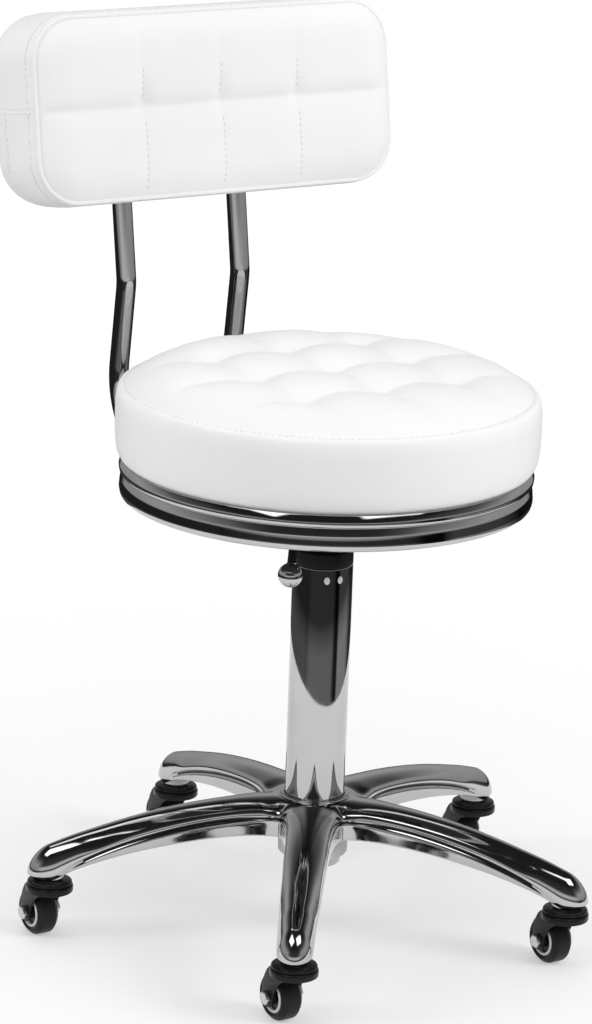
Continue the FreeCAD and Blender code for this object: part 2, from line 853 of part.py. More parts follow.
def seat_cover():
    board_side = board_radius + seat_gap
    inside_ring = ring_inner_radius - seat_gap
    sleeve_bottom = ring_bottom + ring_lip + seat_gap
    lens_top = seam_height + cushion_lens_rise
    sides = turned([(board_side, sleeve_bottom), (inside_ring, sleeve_bottom),
                    (inside_ring, ring_top + cushion_tuck_height, cushion_tuck_round),
                    (cushion_radius, ring_top + cushion_belly_start, cushion_belly_round),
                    (cushion_radius, seam_height - cushion_belly_drop, cushion_shoulder_round),
                    (seam_radius, seam_height, cushion_seam_round),
                    (seam_radius - cushion_lens_inset, lens_top, cushion_lens_round), (0, lens_top),
                    (0, board_top), (board_side, board_top)])
    steps = cell_steps(quilt_rows)
    pillows = [quilt_pillow(column * quilt_pitch, row * quilt_pitch) for column in steps for row in steps]
    edge = seam_radius - quilt_edge_inset
    low = seam_height - quilt_root
    roof = crown_height + overrun
    shoulder = turned([(0, low), (edge, low), (edge, seam_height),
                       (edge - quilt_edge_bevel, seam_height + quilt_edge_bevel, quilt_edge_round),
                       (edge - quilt_slope_reach, roof), (0, roof)])
    quilt = pillows[0].multiFuse(pillows[1:]).common(shoulder)
    cavity = upright(foam_radius + seat_gap, 0, 0, board_top, foam_top + seat_gap)
    return sides.fuse(quilt).cut(cavity).removeSplitter()


# Backrest tubes: under the board, up behind the seat, a kink, then up inside the pad

def pad_axis_point(climb, depth):
    lean = math.radians(pad_lean)
    return vec(0, math.sin(lean), math.cos(lean)) * climb + vec(0, math.cos(lean), -math.sin(lean)) * depth


def pad_centre():
    lean = math.radians(pad_lean)
    climb = (pad_rise - math.sin(lean) * pad_tube_depth) / math.cos(lean)
    return vec(0, tube_kink_y, tube_kink_height) + pad_axis_point(climb, -pad_tube_depth)


def pad_place(shape):
    copy = shape.copy()
    copy.rotate(origin, across, -pad_lean)
    copy.translate(pad_centre())
    return copy


def tube_edges():
    drop = tube_kink_height - tube_run_height
    corner_y = tube_kink_y + drop * math.tan(math.radians(tube_lower_lean))
    top = pad_centre() + pad_axis_point(pad_tube_top, pad_tube_depth)
    points = [vec(0, tube_front_end, tube_run_height), vec(0, corner_y, tube_run_height),
              vec(0, tube_kink_y, tube_kink_height), top]
    return rounded_edges(points, [0, tube_bend_radius, tube_kink_radius, 0], False)


def tube_sides():
    return [side * tube_spacing / 2 for side in (-1, 1)]


def pad_screw_places():
    return [(x, pad_screw_low + i * pad_screw_pitch) for x in tube_sides() for i in (0, 1)]


def back_tube(shift):
    tube = swept(tube_edges(), tube_radius).cut(swept(tube_edges(), tube_radius - tube_wall))
    tube = moved(tube, vec(shift, 0, 0))
    for x, y in tube_bolt_places():
        tube = tube.cut(upright(tube_bolt_radius + slip_gap, x, y, tube_run_height - 2 * tube_radius,
                                tube_run_height + 2 * tube_radius))
    for x, height in pad_screw_places():
        hole = rod(pad_screw_radius + slip_gap, vec(x, pad_tube_depth - 2 * tube_radius, height),
                   vec(x, pad_tube_depth + 2 * tube_radius, height))
        tube = tube.cut(pad_place(hole))
    return tube


def tube_cap():
    head = upright(tube_radius, 0, 0, 0, tube_cap_head)
    plug = upright(tube_radius - tube_wall - running_gap, 0, 0, -tube_cap_length, tube_cap_head / 2)
    return head.fuse(plug).removeSplitter()


def tube_caps():
    front = tube_cap()
    front.rotate(origin, across, 90)
    front = moved(front, vec(0, tube_front_end, tube_run_height))
    upper = pad_place(moved(tube_cap(), vec(0, pad_tube_depth, pad_tube_top)))
    return [moved(cap, vec(x, 0, 0)) for cap in (front, upper) for x in tube_sides()]


# Backrest pad: board and foam inside a boxed cover whose front is quilted in two rows

def pad_sections():
    stations = [(0, 0), (0.22, pad_bulge), (0.55, pad_bulge), (0.78, 0), (0.93, -pad_back_inset / 2),
                (1, -pad_back_inset)]
    return [rounded_rectangle(pad_seam_half_width + grow, pad_seam_half_height + grow, pad_corner_radius + grow,
                              share * pad_thickness) for share, grow in stations]


def pad_pillow(x, z):
    radius = pad_quilt_sphere_radius
    block = Part.makeBox(2 * pad_quilt_pitch, pad_crown + pad_quilt_root + overrun, 2 * pad_seam_half_height,
                         vec(x - pad_quilt_pitch, -pad_crown - overrun, z - pad_seam_half_height))
    return Part.makeSphere(radius, vec(x, radius - pad_crown, z)).common(block)


# Outline at one level of the quilted front, counted in crowns in front of the seam and in rims inside it
def pad_rim(crowns, rims):
    inset = rims * pad_rim_inset
    depth = -crowns * pad_crown if crowns else pad_quilt_root
    return rounded_rectangle(pad_seam_half_width - inset, pad_seam_half_height - inset,
                             max(pad_corner_radius - inset, pad_rim_least_corner), depth)


def pad_quilt():
    row = pad_seam_half_height / 2
    pillows = [pad_pillow(step * pad_quilt_pitch, level * row)
               for step in cell_steps(pad_quilt_columns) for level in (-1, 1)]
    rims = [pad_rim(0, 1), pad_rim(0.02, 1), pad_rim(0.45, 1.8), pad_rim(0.8, 4), pad_rim(1.1, 8.6)]
    return pillows[0].multiFuse(pillows[1:]).common(Part.makeLoft(rims, True, True))


def pad_core(inset, front, back):
    face = Part.Face(rounded_rectangle(pad_seam_half_width - inset, pad_seam_half_height - inset,
                                       pad_corner_radius - inset / 2, front))
    return face.extrude(vec(0, back - front, 0))


def back_cover():
    cover = Part.makeLoft(pad_sections(), True, False).fuse(pad_quilt())
    board_back = pad_board_front + pad_board_thickness
    cover = cover.cut(pad_core(pad_foam_margin - seat_gap, pad_foam_front - seat_gap, board_back + running_gap))
    for x in tube_sides():
        cover = cover.cut(rod(tube_radius + seat_gap, vec(x, pad_tube_depth, -2 * pad_seam_half_height),
                              vec(x, pad_tube_depth, pad_tube_top + tube_cap_head + seat_gap)))
    head_top = pad_tube_depth + tube_radius + pad_screw_head_height + seat_gap
    for x, height in pad_screw_places():
        pocket = rod(pad_screw_head_radius + seat_gap, vec(x, pad_tube_depth, height), vec(x, head_top, height))
        shank_hole = rod(pad_screw_radius + slip_gap, vec(x, pad_board_front, height),
                         vec(x, pad_tube_depth, height))
        cover = cover.cut(pocket).cut(shank_hole)
    return pad_place(cover)


def back_foam():
    return pad_place(pad_core(pad_foam_margin, pad_foam_front, pad_board_front - running_gap))


def back_board():
    board_back = pad_board_front + pad_board_thickness
    board = pad_core(pad_foam_margin, pad_board_front, board_back)
    for x, height in pad_screw_places():
        board = board.cut(rod(pad_screw_radius + running_gap, vec(x, pad_board_front, height),
                              vec(x, board_back, height)))
    return pad_place(board)


def back_screws():
    screws = []
    under_head = pad_tube_depth + tube_radius + running_gap
    head_top = under_head + pad_screw_head_height
    for x, height in pad_screw_places():
        head = rod(pad_screw_head_radius, vec(x, under_head, height), vec(x, head_top, height))
        shank = rod(pad_screw_radius, vec(x, pad_board_front + pad_screw_cover, height),
                    vec(x, under_head + pad_screw_head_height / 2, height))
        screws.append(pad_place(head.fuse(shank).removeSplitter()))
    return screws


# Release lever: finger over the valve pin, eye on the pivot, rod bent down to a ball

def lever_tip_direction():
    return vec(lever_ball_offset, 0, -lever_ball_drop).normalize()


def lever_ball_centre():
    return vec(lever_ball_reach, 0, lever_ball_height)


def lever_rod():
    eye_start = lever_pivot_radius - lever_eye_length / 2
    eye = Part.makeBox(lever_eye_length, 2 * lever_eye_half_width, lever_eye_height,
                       vec(eye_start, -lever_eye_half_width, lever_height - lever_eye_height / 2))
    finger = Part.makeBox(lever_pivot_radius + lever_finger_overrun, 2 * lever_finger_half_width,
                          2 * lever_rod_radius,
                          vec(-lever_finger_overrun, -lever_finger_half_width, lever_height - lever_rod_radius))
    end = lever_ball_centre() - lever_tip_direction() * (lever_ball_radius - lever_ball_socket)
    points = [vec(lever_pivot_radius, 0, lever_height), vec(lever_bend_reach, 0, lever_height), end]
    bar = swept(rounded_edges(points, [0, lever_bend_radius, 0], False), lever_rod_radius)
    hole = rod(lever_pivot_pin_radius + running_gap, vec(lever_pivot_radius, -socket_radius, lever_height),
               vec(lever_pivot_radius, socket_radius, lever_height))
    return lever_place(eye.fuse([finger, bar]).cut(hole).removeSplitter())


def lever_ball():
    away = -lever_tip_direction()
    centre = lever_ball_centre()
    floor = lever_ball_radius - lever_ball_socket - running_gap
    mouth = lever_ball_radius + overrun
    socket = rod(lever_rod_radius + running_gap, centre + away * floor, centre + away * mouth)
    return lever_place(Part.makeSphere(lever_ball_radius, centre).cut(socket))


def lever_pivot():
    half = lever_eye_half_width + seat_gap + lever_ear_thickness + lever_pivot_stand
    return lever_place(rod(lever_pivot_pin_radius, vec(lever_pivot_radius, -half, lever_height),
                           vec(lever_pivot_radius, half, lever_height)))


# Casters. Each is drawn under the origin with its axle along X and its wheel trailing to the back.

def caster_centres():
    angles = [math.radians(first_arm_angle + i * 360 / arm_count) for i in range(arm_count)]
    return [vec(stem_circle_radius * math.cos(a), stem_circle_radius * math.sin(a), 0) for a in angles]


def on_axle(x):
    return vec(x, caster_trail, wheel_radius)


def turned_on_axle(corners):
    wheel = turned(corners)
    wheel.rotate(origin, backwards, 90)
    return moved(wheel, on_axle(0))


def wheel_tread():
    half = wheel_width / 2
    side = wheel_radius - wheel_shoulder
    return turned_on_axle([(wheel_core_radius, wheel_side_dish - half), (side, -half, wheel_side_round),
                           (wheel_radius, wheel_shoulder - half, wheel_tread_round),
                           (wheel_radius, half - wheel_shoulder, wheel_tread_round),
                           (side, half, wheel_side_round), (wheel_core_radius, half - wheel_side_dish)])


def wheel_hub():
    half = wheel_width / 2
    outer = wheel_core_radius - running_gap / 2
    bore = axle_radius + running_gap
    boss = bore + wheel_boss_wall
    web = half - wheel_web_recess
    rim = outer - wheel_rim_wall
    rim_side = half - wheel_rim_inset
    outer_side = half - wheel_side_dish
    return turned_on_axle([(bore, -half), (boss, -half), (boss, -web), (rim, -web), (rim, -rim_side),
                           (outer, -outer_side), (outer, outer_side), (rim, rim_side), (rim, web), (boss, web),
                           (boss, half), (bore, half)])


def fork_leg(x):
    axle = on_axle(x)
    wrap = math.radians(fork_eye_start)
    top = crown_top - fork_leg_overlap
    front = vec(x, -fork_leg_half_length, crown_top - fork_crown_height + fork_leg_overlap)
    hollow = axle + vec(0, -fork_hollow_back, fork_hollow_rise)
    touch = axle + vec(0, fork_eye_radius * math.cos(wrap), fork_eye_radius * math.sin(wrap))
    eye_low = axle + vec(0, 0, -fork_eye_radius)
    eye_side = axle + vec(0, fork_eye_radius, 0)
    rear = eye_side + vec(0, 0, fork_rear_rise)
    top_rear = vec(x, fork_leg_half_length, top)
    top_front = vec(x, -fork_leg_half_length, top)
    outline = line_edges([eye_side, rear, top_rear, top_front, front])
    outline.append(Part.Arc(front, hollow, touch).toShape())
    outline.append(Part.Arc(touch, eye_low, eye_side).toShape())
    return Part.Face(Part.Wire(outline)).extrude(vec(fork_thickness, 0, 0))


def fork():
    low = crown_top - fork_crown_height
    under_plate = crown_top - fork_crown_plate
    hole = stem_neck_radius + running_gap
    skirt = fork_crown_radius - fork_skirt
    crown = turned([(hole, under_plate), (skirt - fork_skirt_slope, under_plate), (skirt, low),
                    (fork_crown_radius, low, fork_skirt_round),
                    (fork_crown_radius, crown_top, fork_shoulder_round), (hole, crown_top)])
    body = crown.fuse([fork_leg(fork_inner), fork_leg(-fork_inner - fork_thickness)])
    reach = fork_inner + fork_thickness + overrun
    return body.cut(rod(axle_radius + running_gap, on_axle(-reach), on_axle(reach))).removeSplitter()


def axle_parts():
    outer = fork_inner + fork_thickness + running_gap
    head = hexagon(axle_head_flats, axle_head_height, on_axle(-outer), -across)
    end = outer + axle_nut_height + axle_tail
    shank = rod(axle_radius, on_axle(-outer - axle_head_height / 2), on_axle(end))
    nut = hexagon(axle_head_flats, axle_nut_height, on_axle(outer), across)
    nut = nut.cut(rod(axle_radius + running_gap, on_axle(outer - overrun), on_axle(end)))
    return [head.fuse(shank).removeSplitter(), nut]


def caster_stem():
    head_top = crown_top - fork_crown_plate - seat_gap
    head_low = head_top - stem_head_height
    collar_top = nose_floor - running_gap
    tip = nose_floor + stem_length
    return turned([(0, head_low), (stem_head_radius, head_low, stem_edge_round), (stem_head_radius, head_top),
                   (stem_neck_radius, head_top), (stem_neck_radius, caster_height),
                   (stem_collar_radius, caster_height), (stem_collar_radius, collar_top, stem_edge_round),
                   (stem_radius, collar_top),
                   (stem_radius, tip, stem_edge_round), (0, tip)])


def caster_race():
    bore = stem_neck_radius + running_gap
    low = caster_height - caster_race_height
    top = caster_height - running_gap
    return turned([(bore, low), (caster_race_radius, low, caster_race_round),
                   (caster_race_radius, top, caster_race_round), (bore, top)])


os.makedirs("parts", exist_ok=True)

keep("star_base", star_base())
keep("column_tube", column_tube())
keep("guide_bush", guide_bush())
keep("lower_race", ring_solid(rod_neck_radius + slip_gap, race_radius, floor_top, lower_race_top))
keep("bearing_balls", *bearing_balls())
keep("upper_race", ring_solid(rod_neck_radius + running_gap, race_radius, upper_race_bottom, upper_race_top))
keep("piston_rod", piston_rod())
keep("piston_head", piston_head())
keep("bump_stop", ring_solid(rod_radius + running_gap, bump_stop_radius, upper_race_top + running_gap,
                             bump_stop_top))
keep("rod_washer", ring_solid(rod_neck_radius + running_gap, clip_radius, washer_top - rod_washer_thickness,
                              washer_top))
keep("rod_clip", rod_clip())
keep("pressure_cylinder", pressure_cylinder())
keep("rod_gland", ring_solid(rod_radius + running_gap, cylinder_bore - running_gap,
                             cylinder_rest_bottom + gland_recess, gland_top))
keep("release_pin", release_pin())
keep("plate_socket", plate_socket())
keep("seat_plate", seat_plate())
keep("seat_bolts", *seat_bolts())
keep("seat_tee_nuts", *[tee_nut(x, y, bolt_radius) for x, y in plate_bolt_places()])
keep("seat_board", seat_board())
keep("seat_ring", seat_ring())
keep("ring_screws", *ring_screws())
keep("seat_foam", upright(foam_radius, 0, 0, board_top + running_gap, foam_top))
keep("seat_cover", seat_cover())
keep("back_tube_left", back_tube(tube_sides()[0]))
keep("back_tube_right", back_tube(tube_sides()[1]))
keep("tube_caps", *tube_caps())
keep("tube_bolts", *tube_bolts())
keep("tube_tee_nuts", *[tee_nut(x, y, tube_bolt_radius) for x, y in tube_bolt_places()])
keep("back_board", back_board())
keep("back_foam", back_foam())
keep("back_cover", back_cover())
keep("back_screws", *back_screws())
keep("lever_rod", lever_rod())
keep("lever_ball", lever_ball())
keep("lever_pivot", lever_pivot())
keep("caster_stems", *[moved(caster_stem(), place) for place in caster_centres()])
keep("caster_races", *[moved(caster_race(), place) for place in caster_centres()])
for number, place in enumerate(caster_centres(), start=1):
    keep("fork_%d" % number, moved(fork(), place))
    keep("axle_%d" % number, *[moved(piece, place) for piece in axle_parts()])
    keep("wheel_hub_%d" % number, moved(wheel_hub(), place))
    keep("wheel_tread_%d" % number, moved(wheel_tread(), place))
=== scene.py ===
import bmesh
import bpy
import json
import math
from mathutils import Matrix, Vector


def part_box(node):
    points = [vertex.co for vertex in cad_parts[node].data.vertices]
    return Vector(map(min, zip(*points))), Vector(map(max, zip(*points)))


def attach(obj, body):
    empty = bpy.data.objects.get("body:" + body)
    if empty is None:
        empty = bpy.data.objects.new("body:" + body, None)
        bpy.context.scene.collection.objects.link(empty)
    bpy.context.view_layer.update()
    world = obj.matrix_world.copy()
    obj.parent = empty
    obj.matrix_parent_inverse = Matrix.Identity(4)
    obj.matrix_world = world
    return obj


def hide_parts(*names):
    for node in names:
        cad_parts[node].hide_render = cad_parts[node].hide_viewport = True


# Salon stool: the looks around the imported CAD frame. Sizes in the dictionaries are millimetres.
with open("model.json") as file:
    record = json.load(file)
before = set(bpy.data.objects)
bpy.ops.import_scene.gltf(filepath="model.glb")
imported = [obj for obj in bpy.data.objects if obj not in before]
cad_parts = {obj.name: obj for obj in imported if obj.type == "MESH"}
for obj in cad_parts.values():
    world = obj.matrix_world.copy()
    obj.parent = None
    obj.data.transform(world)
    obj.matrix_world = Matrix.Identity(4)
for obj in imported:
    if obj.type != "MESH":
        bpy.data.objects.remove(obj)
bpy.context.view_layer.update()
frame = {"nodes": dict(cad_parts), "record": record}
nodes = frame["nodes"]
mm = 0.001
bendStep = 5  # degrees of a bend for each row of faces
noiseLow, noiseHigh = 0.3, 0.7  # most of a noise lies between these
print("stage: frame loaded,", len(nodes), "CAD nodes")


# bench tools

def clearSelection():
    if bpy.context.object and bpy.context.object.mode != "OBJECT":
        bpy.ops.object.mode_set(mode="OBJECT")
    bpy.ops.object.select_all(action="DESELECT")


def pick(piece):
    clearSelection()
    piece.select_set(True)
    bpy.context.view_layer.objects.active = piece


def openEdit(piece, kind="VERT"):
    pick(piece)
    bpy.ops.object.mode_set(mode="EDIT")
    bpy.ops.mesh.select_mode(type=kind)
    bpy.ops.mesh.select_all(action="SELECT")


def closeEdit():
    bpy.ops.object.mode_set(mode="OBJECT")


def selectBy(piece, kind, test):  # picks corners, edges or faces by their place
    bpy.ops.mesh.select_mode(type=kind)
    bpy.ops.mesh.select_all(action="DESELECT")
    work = bmesh.from_edit_mesh(piece.data)
    parts = {"VERT": work.verts, "EDGE": work.edges, "FACE": work.faces}[kind]
    for part in parts:
        if test(part):
            part.select_set(True)
    bmesh.update_edit_mesh(piece.data)


def named(name):  # the primitive that was just added
    piece = bpy.context.object
    piece.name = name
    piece.data.name = name
    return piece


def settle(piece):  # place, turn and size go into the mesh
    pick(piece)
    bpy.ops.object.transform_apply(location=True, rotation=True, scale=True)


def applyModifiers(piece):
    pick(piece)
    for modifier in list(piece.modifiers):
        bpy.ops.object.modifier_apply(modifier=modifier.name)


def smoothOff(piece, angle=35):  # smooth up to an angle, sharp beyond it
    pick(piece)
    bpy.ops.object.shade_smooth_by_angle(angle=math.radians(angle))


def smoothAll(piece):
    pick(piece)
    bpy.ops.object.shade_smooth()


def addSmoothing(piece, levels):
    smooth = piece.modifiers.new("smooth", "SUBSURF")
    smooth.levels = levels
    smooth.render_levels = levels


def tidyMesh(piece, gap=0.00002):  # doubles merged, faces turned outwards
    openEdit(piece)
    bpy.ops.mesh.remove_doubles(threshold=gap)
    bpy.ops.mesh.normals_make_consistent(inside=False)
    closeEdit()


def joined(name, pieces):
    clearSelection()
    for piece in pieces:
        piece.select_set(True)
    bpy.context.view_layer.objects.active = pieces[0]
    if len(pieces) > 1:
        bpy.ops.object.join()
    return named(name)


def copied(piece, name, move=(0, 0, 0), turn=0):  # a copy with its own mesh, turned about Z, then moved
    pick(piece)
    bpy.ops.object.duplicate(linked=False)
    twin = named(name)
    twin.rotation_euler = (0, 0, math.radians(turn))
    twin.location = [value * mm for value in move]
    settle(twin)
    return twin


def roundCorners(corners, steps=5):  # (across, up) or (across, up, rounding)
    points = []
    for i, corner in enumerate(corners):
        here = Vector(corner[:2])
        rounding = corner[2] if len(corner) > 2 else 0
        if rounding == 0 or i in (0, len(corners) - 1):
            points.append(tuple(here))
            continue
        back = (Vector(corners[i - 1][:2]) - here).normalized()
        ahead = (Vector(corners[i + 1][:2]) - here).normalized()
        half = back.angle(ahead) / 2
        centre = here + (back + ahead).normalized() * (rounding / math.sin(half))
        first = here + back * (rounding / math.tan(half)) - centre
        last = here + ahead * (rounding / math.tan(half)) - centre
        sweep = first.angle(last)
        for k in range(steps + 1):
            share = k / steps
            arm = first * math.sin((1 - share) * sweep) + last * math.sin(share * sweep)
            points.append(tuple(centre + arm / math.sin(sweep)))
    return points


def turnPiece(name, corners, sides, closed):  # a ring of edges drawn along a profile of (radius, height)
    points = roundCorners(corners)
    radius, height = points[0]
    clearSelection()
    bpy.ops.mesh.primitive_circle_add(vertices=sides, radius=radius * mm, location=(0, 0, height * mm))
    piece = named(name)
    settle(piece)
    openEdit(piece, "EDGE")
    for nextRadius, nextHeight in points[1:]:
        rise = (nextHeight - height) * mm
        grow = nextRadius / radius
        bpy.ops.mesh.extrude_edges_move(TRANSFORM_OT_translate={"value": (0, 0, rise)})
        bpy.ops.transform.resize(value=(grow, grow, 1), center_override=(0, 0, 0))
        radius, height = nextRadius, nextHeight
    selectBy(piece, "EDGE", lambda edge: edge.is_boundary)
    if closed:
        bpy.ops.mesh.bridge_edge_loops()
    else:
        bpy.ops.mesh.fill_holes(sides=0)
    closeEdit()
    tidyMesh(piece)
    smoothOff(piece)
    return piece


def cutPlate(name, outline, thickness):  # an outline (along Y, up Z) drawn out along +X
    clearSelection()
    bpy.ops.mesh.primitive_circle_add(vertices=len(outline), radius=1, fill_type="NGON")
    piece = named(name)
    for corner, (along, up) in zip(piece.data.vertices, outline):
        corner.co = Vector((0, along * mm, up * mm))
    openEdit(piece, "FACE")
    bpy.ops.mesh.extrude_region_move(TRANSFORM_OT_translate={"value": (thickness * mm, 0, 0)})
    bpy.ops.mesh.select_all(action="SELECT")
    bpy.ops.mesh.normals_make_consistent(inside=False)
    closeEdit()
    return piece


def softenEdges(piece, width, steps=3, angle=35):
    bevel = piece.modifiers.new("soften", "BEVEL")
    bevel.width = width * mm
    bevel.segments = steps
    bevel.limit_method = "ANGLE"
    bevel.angle_limit = math.radians(angle)
    applyModifiers(piece)
    smoothOff(piece)


def drawOut(piece, moved):  # the picked edges drawn out, each new corner going where moved says
    bpy.ops.mesh.extrude_edges_move(TRANSFORM_OT_translate={"value": (0, 0, 0)})
    work = bmesh.from_edit_mesh(piece.data)
    for corner in work.verts:
        if corner.select:
            corner.co = moved(corner.co)
    bmesh.update_edit_mesh(piece.data)


def turnAbout(centre, angle):  # a turn about the Y direction through a point
    return Matrix.Translation(centre) @ Matrix.Rotation(angle, 4, "Y") @ Matrix.Translation(-centre)


def bendTube(name, radius, sides, start, runs):  # in XZ: runs of ("go", length) or ("bend", radius, degrees)
    clearSelection()
    bpy.ops.mesh.primitive_circle_add(vertices=sides, radius=radius * mm, rotation=(0, math.pi / 2, 0))
    piece = named(name)
    here = Vector((start[0] * mm, 0, start[1] * mm))
    piece.location = here
    settle(piece)
    openEdit(piece, "EDGE")
    heading = 0.0
    for run in runs:
        if run[0] == "go":
            step = Vector((math.cos(heading), 0, math.sin(heading))) * run[1] * mm
            bpy.ops.mesh.extrude_edges_move(TRANSFORM_OT_translate={"value": step})
            here = here + step
            continue
        turn = math.radians(run[2])
        side = math.copysign(1, turn)
        centre = here + Vector((-math.sin(heading), 0, math.cos(heading))) * (side * run[1] * mm)
        count = max(4, round(abs(run[2]) / bendStep))
        spin = turnAbout(centre, -turn / count)
        for k in range(count):  # each step is an extrusion turned about the bend's own centre
            drawOut(piece, lambda spot: spin @ spot)
        here = turnAbout(centre, -turn) @ here
        heading = heading + turn
    selectBy(piece, "EDGE", lambda edge: edge.is_boundary)
    bpy.ops.mesh.fill_holes(sides=0)
    closeEdit()
    tidyMesh(piece)
    smoothOff(piece)
    return piece


def place(piece, body, finish, slotName, *stoodFor):
    if finish:  # a piece with several finishes already carries them
        piece.data.materials.clear()
        piece.data.materials.append(finish)
    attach(piece, body)
    if stoodFor:
        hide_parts(*stoodFor)


# finishes

def newFinish(name):
    finish = bpy.data.materials.new(name)
    finish.use_nodes = True
    tree = finish.node_tree
    return finish, tree, tree.nodes["Principled BSDF"], tree.nodes.new("ShaderNodeTexCoord").outputs["Object"]


def addNoise(tree, where, scale, detail=3.0, rough=0.5):
    noise = tree.nodes.new("ShaderNodeTexNoise")
    noise.inputs["Scale"].default_value = scale
    noise.inputs["Detail"].default_value = detail
    noise.inputs["Roughness"].default_value = rough
    tree.links.new(where, noise.inputs["Vector"])
    return noise.outputs["Fac"]


def addStretch(tree, where, scale):  # the same place, drawn out along an axis
    mapping = tree.nodes.new("ShaderNodeMapping")
    mapping.inputs["Scale"].default_value = scale
    tree.links.new(where, mapping.inputs["Vector"])
    return mapping.outputs["Vector"]


def addCells(tree, where, scale):
    cells = tree.nodes.new("ShaderNodeTexVoronoi")
    cells.inputs["Scale"].default_value = scale
    tree.links.new(where, cells.inputs["Vector"])
    return cells.outputs["Distance"]


def addRange(tree, value, fromLow, fromHigh, low, high):
    spread = tree.nodes.new("ShaderNodeMapRange")
    for socket, number in zip(("From Min", "From Max", "To Min", "To Max"), (fromLow, fromHigh, low, high)):
        spread.inputs[socket].default_value = number
    tree.links.new(value, spread.inputs["Value"])
    return spread.outputs["Result"]


def addColours(tree, value, stops):
    ramp = tree.nodes.new("ShaderNodeValToRGB")
    marks = ramp.color_ramp.elements
    while len(marks) < len(stops):
        marks.new(0.5)
    for mark, (spot, colour) in zip(marks, stops):
        mark.position = spot
        mark.color = (*colour, 1)
    tree.links.new(value, ramp.inputs["Fac"])
    return ramp.outputs["Color"]


def addBump(tree, shader, heights):  # heights: (value, strength, metres)
    normal = None
    for value, strength, distance in heights:
        bump = tree.nodes.new("ShaderNodeBump")
        bump.inputs["Strength"].default_value = strength
        bump.inputs["Distance"].default_value = distance
        tree.links.new(value, bump.inputs["Height"])
        if normal:
            tree.links.new(normal, bump.inputs["Normal"])
        normal = bump.outputs["Normal"]
    tree.links.new(normal, shader.inputs["Normal"])


def addMath(tree, operation, first, second):
    step = tree.nodes.new("ShaderNodeMath")
    step.operation = operation
    for socket, value in zip(step.inputs, (first, second)):
        if isinstance(value, (int, float)):
            socket.default_value = value
        else:
            tree.links.new(value, socket)
    return step.outputs[0]


def grey(tone):
    return tone, tone, tone


def tint(tree, shader, value, dark, light):
    colour = addColours(tree, value, [(noiseLow, dark), (noiseHigh, light)])
    tree.links.new(colour, shader.inputs["Base Color"])


def roughen(tree, shader, value, low, high, top=noiseHigh):
    tree.links.new(addRange(tree, value, noiseLow, top, low, high), shader.inputs["Roughness"])


def metalFinish(name, dark, light, roughLow, roughHigh, grain, wave):
    finish, tree, shader, where = newFinish(name)
    shader.inputs["Metallic"].default_value = 1.0
    tint(tree, shader, addNoise(tree, where, 22, 4), dark, light)
    roughen(tree, shader, addNoise(tree, where, grain, 5, 0.6), roughLow, roughHigh, 0.75)
    addBump(tree, shader, [(addNoise(tree, where, 35, 2), wave, 0.0004)])
    return finish


def coatFinish(name, dark, light, roughLow, roughHigh, grain, strength, distance, gloss=0.5):
    finish, tree, shader, where = newFinish(name)
    shader.inputs["Specular IOR Level"].default_value = gloss
    tint(tree, shader, addNoise(tree, where, 30, 4), dark, light)
    roughen(tree, shader, addNoise(tree, where, 90, 3), roughLow, roughHigh)
    addBump(tree, shader, [(addNoise(tree, where, grain, 3), strength, distance)])
    return finish


def leatheretteFinish():
    finish, tree, shader, where = newFinish("whiteLeatherette")
    tint(tree, shader, addNoise(tree, where, 9, 4), (0.875, 0.873, 0.868), (0.905, 0.905, 0.903))
    roughen(tree, shader, addNoise(tree, where, 160, 3), 0.44, 0.56)
    pebble = addCells(tree, where, 820)
    pore = addNoise(tree, where, 2100, 2)
    addBump(tree, shader, [(pebble, 0.10, 0.0003), (pore, 0.06, 0.0002)])
    shader.inputs["Specular IOR Level"].default_value = 0.3
    return finish


def plywoodFinish(underside):  # birch, with a dark stain on the board's lower face
    finish, tree, shader, where = newFinish("birchPlywood")
    grain = addNoise(tree, addStretch(tree, where, (9, 160, 900)), 1.0, 5, 0.6)
    birch = addColours(tree, grain, [(noiseLow, (0.45, 0.32, 0.19)), (noiseHigh, (0.66, 0.52, 0.35))])
    stain = addColours(tree, grain, [(noiseLow, (0.020, 0.018, 0.016)), (noiseHigh, (0.045, 0.040, 0.036))])
    apart = tree.nodes.new("ShaderNodeSeparateXYZ")
    tree.links.new(where, apart.inputs[0])
    above = addRange(tree, apart.outputs["Z"], underside + 0.0003, underside + 0.0006, 0, 1)
    mix = tree.nodes.new("ShaderNodeMixRGB")
    for socket, value in zip(mix.inputs, (above, stain, birch)):
        tree.links.new(value, socket)
    tree.links.new(mix.outputs[0], shader.inputs["Base Color"])
    roughen(tree, shader, grain, 0.55, 0.75)
    addBump(tree, shader, [(grain, 0.2, 0.0003)])
    return finish


chrome = metalFinish("brightChrome", (0.50, 0.50, 0.505), (0.55, 0.55, 0.555), 0.02, 0.055, 240, 0.012)
alloy = metalFinish("polishedAlloy", (0.49, 0.49, 0.495), (0.55, 0.55, 0.555), 0.05, 0.11, 160, 0.04)
# painted shade: a near-black metal for the floor of the star base's side grooves, where shade falls
groovePaintedShade = metalFinish("groovePaintedShade", grey(0.015), grey(0.04), 0.30, 0.45, 160, 0.05)
groundSteel = metalFinish("groundSteel", (0.50, 0.50, 0.51), (0.60, 0.60, 0.61), 0.22, 0.38, 500, 0.05)
zincSteel = metalFinish("zincSteel", (0.62, 0.62, 0.61), (0.74, 0.74, 0.75), 0.24, 0.40, 420, 0.06)
inkTones = grey(0.006), (0.011, 0.011, 0.012)
blackPlastic = coatFinish("blackPlastic", *inkTones, 0.30, 0.42, 900, 0.10, 0.0002, 0.2)
blackCoat = coatFinish("blackCoat", *inkTones, 0.16, 0.28, 420, 0.08, 0.0002, 0.2)
blackRubber = coatFinish("blackRubber", grey(0.008), grey(0.015), 0.35, 0.50, 700, 0.12, 0.0003, 0.2)
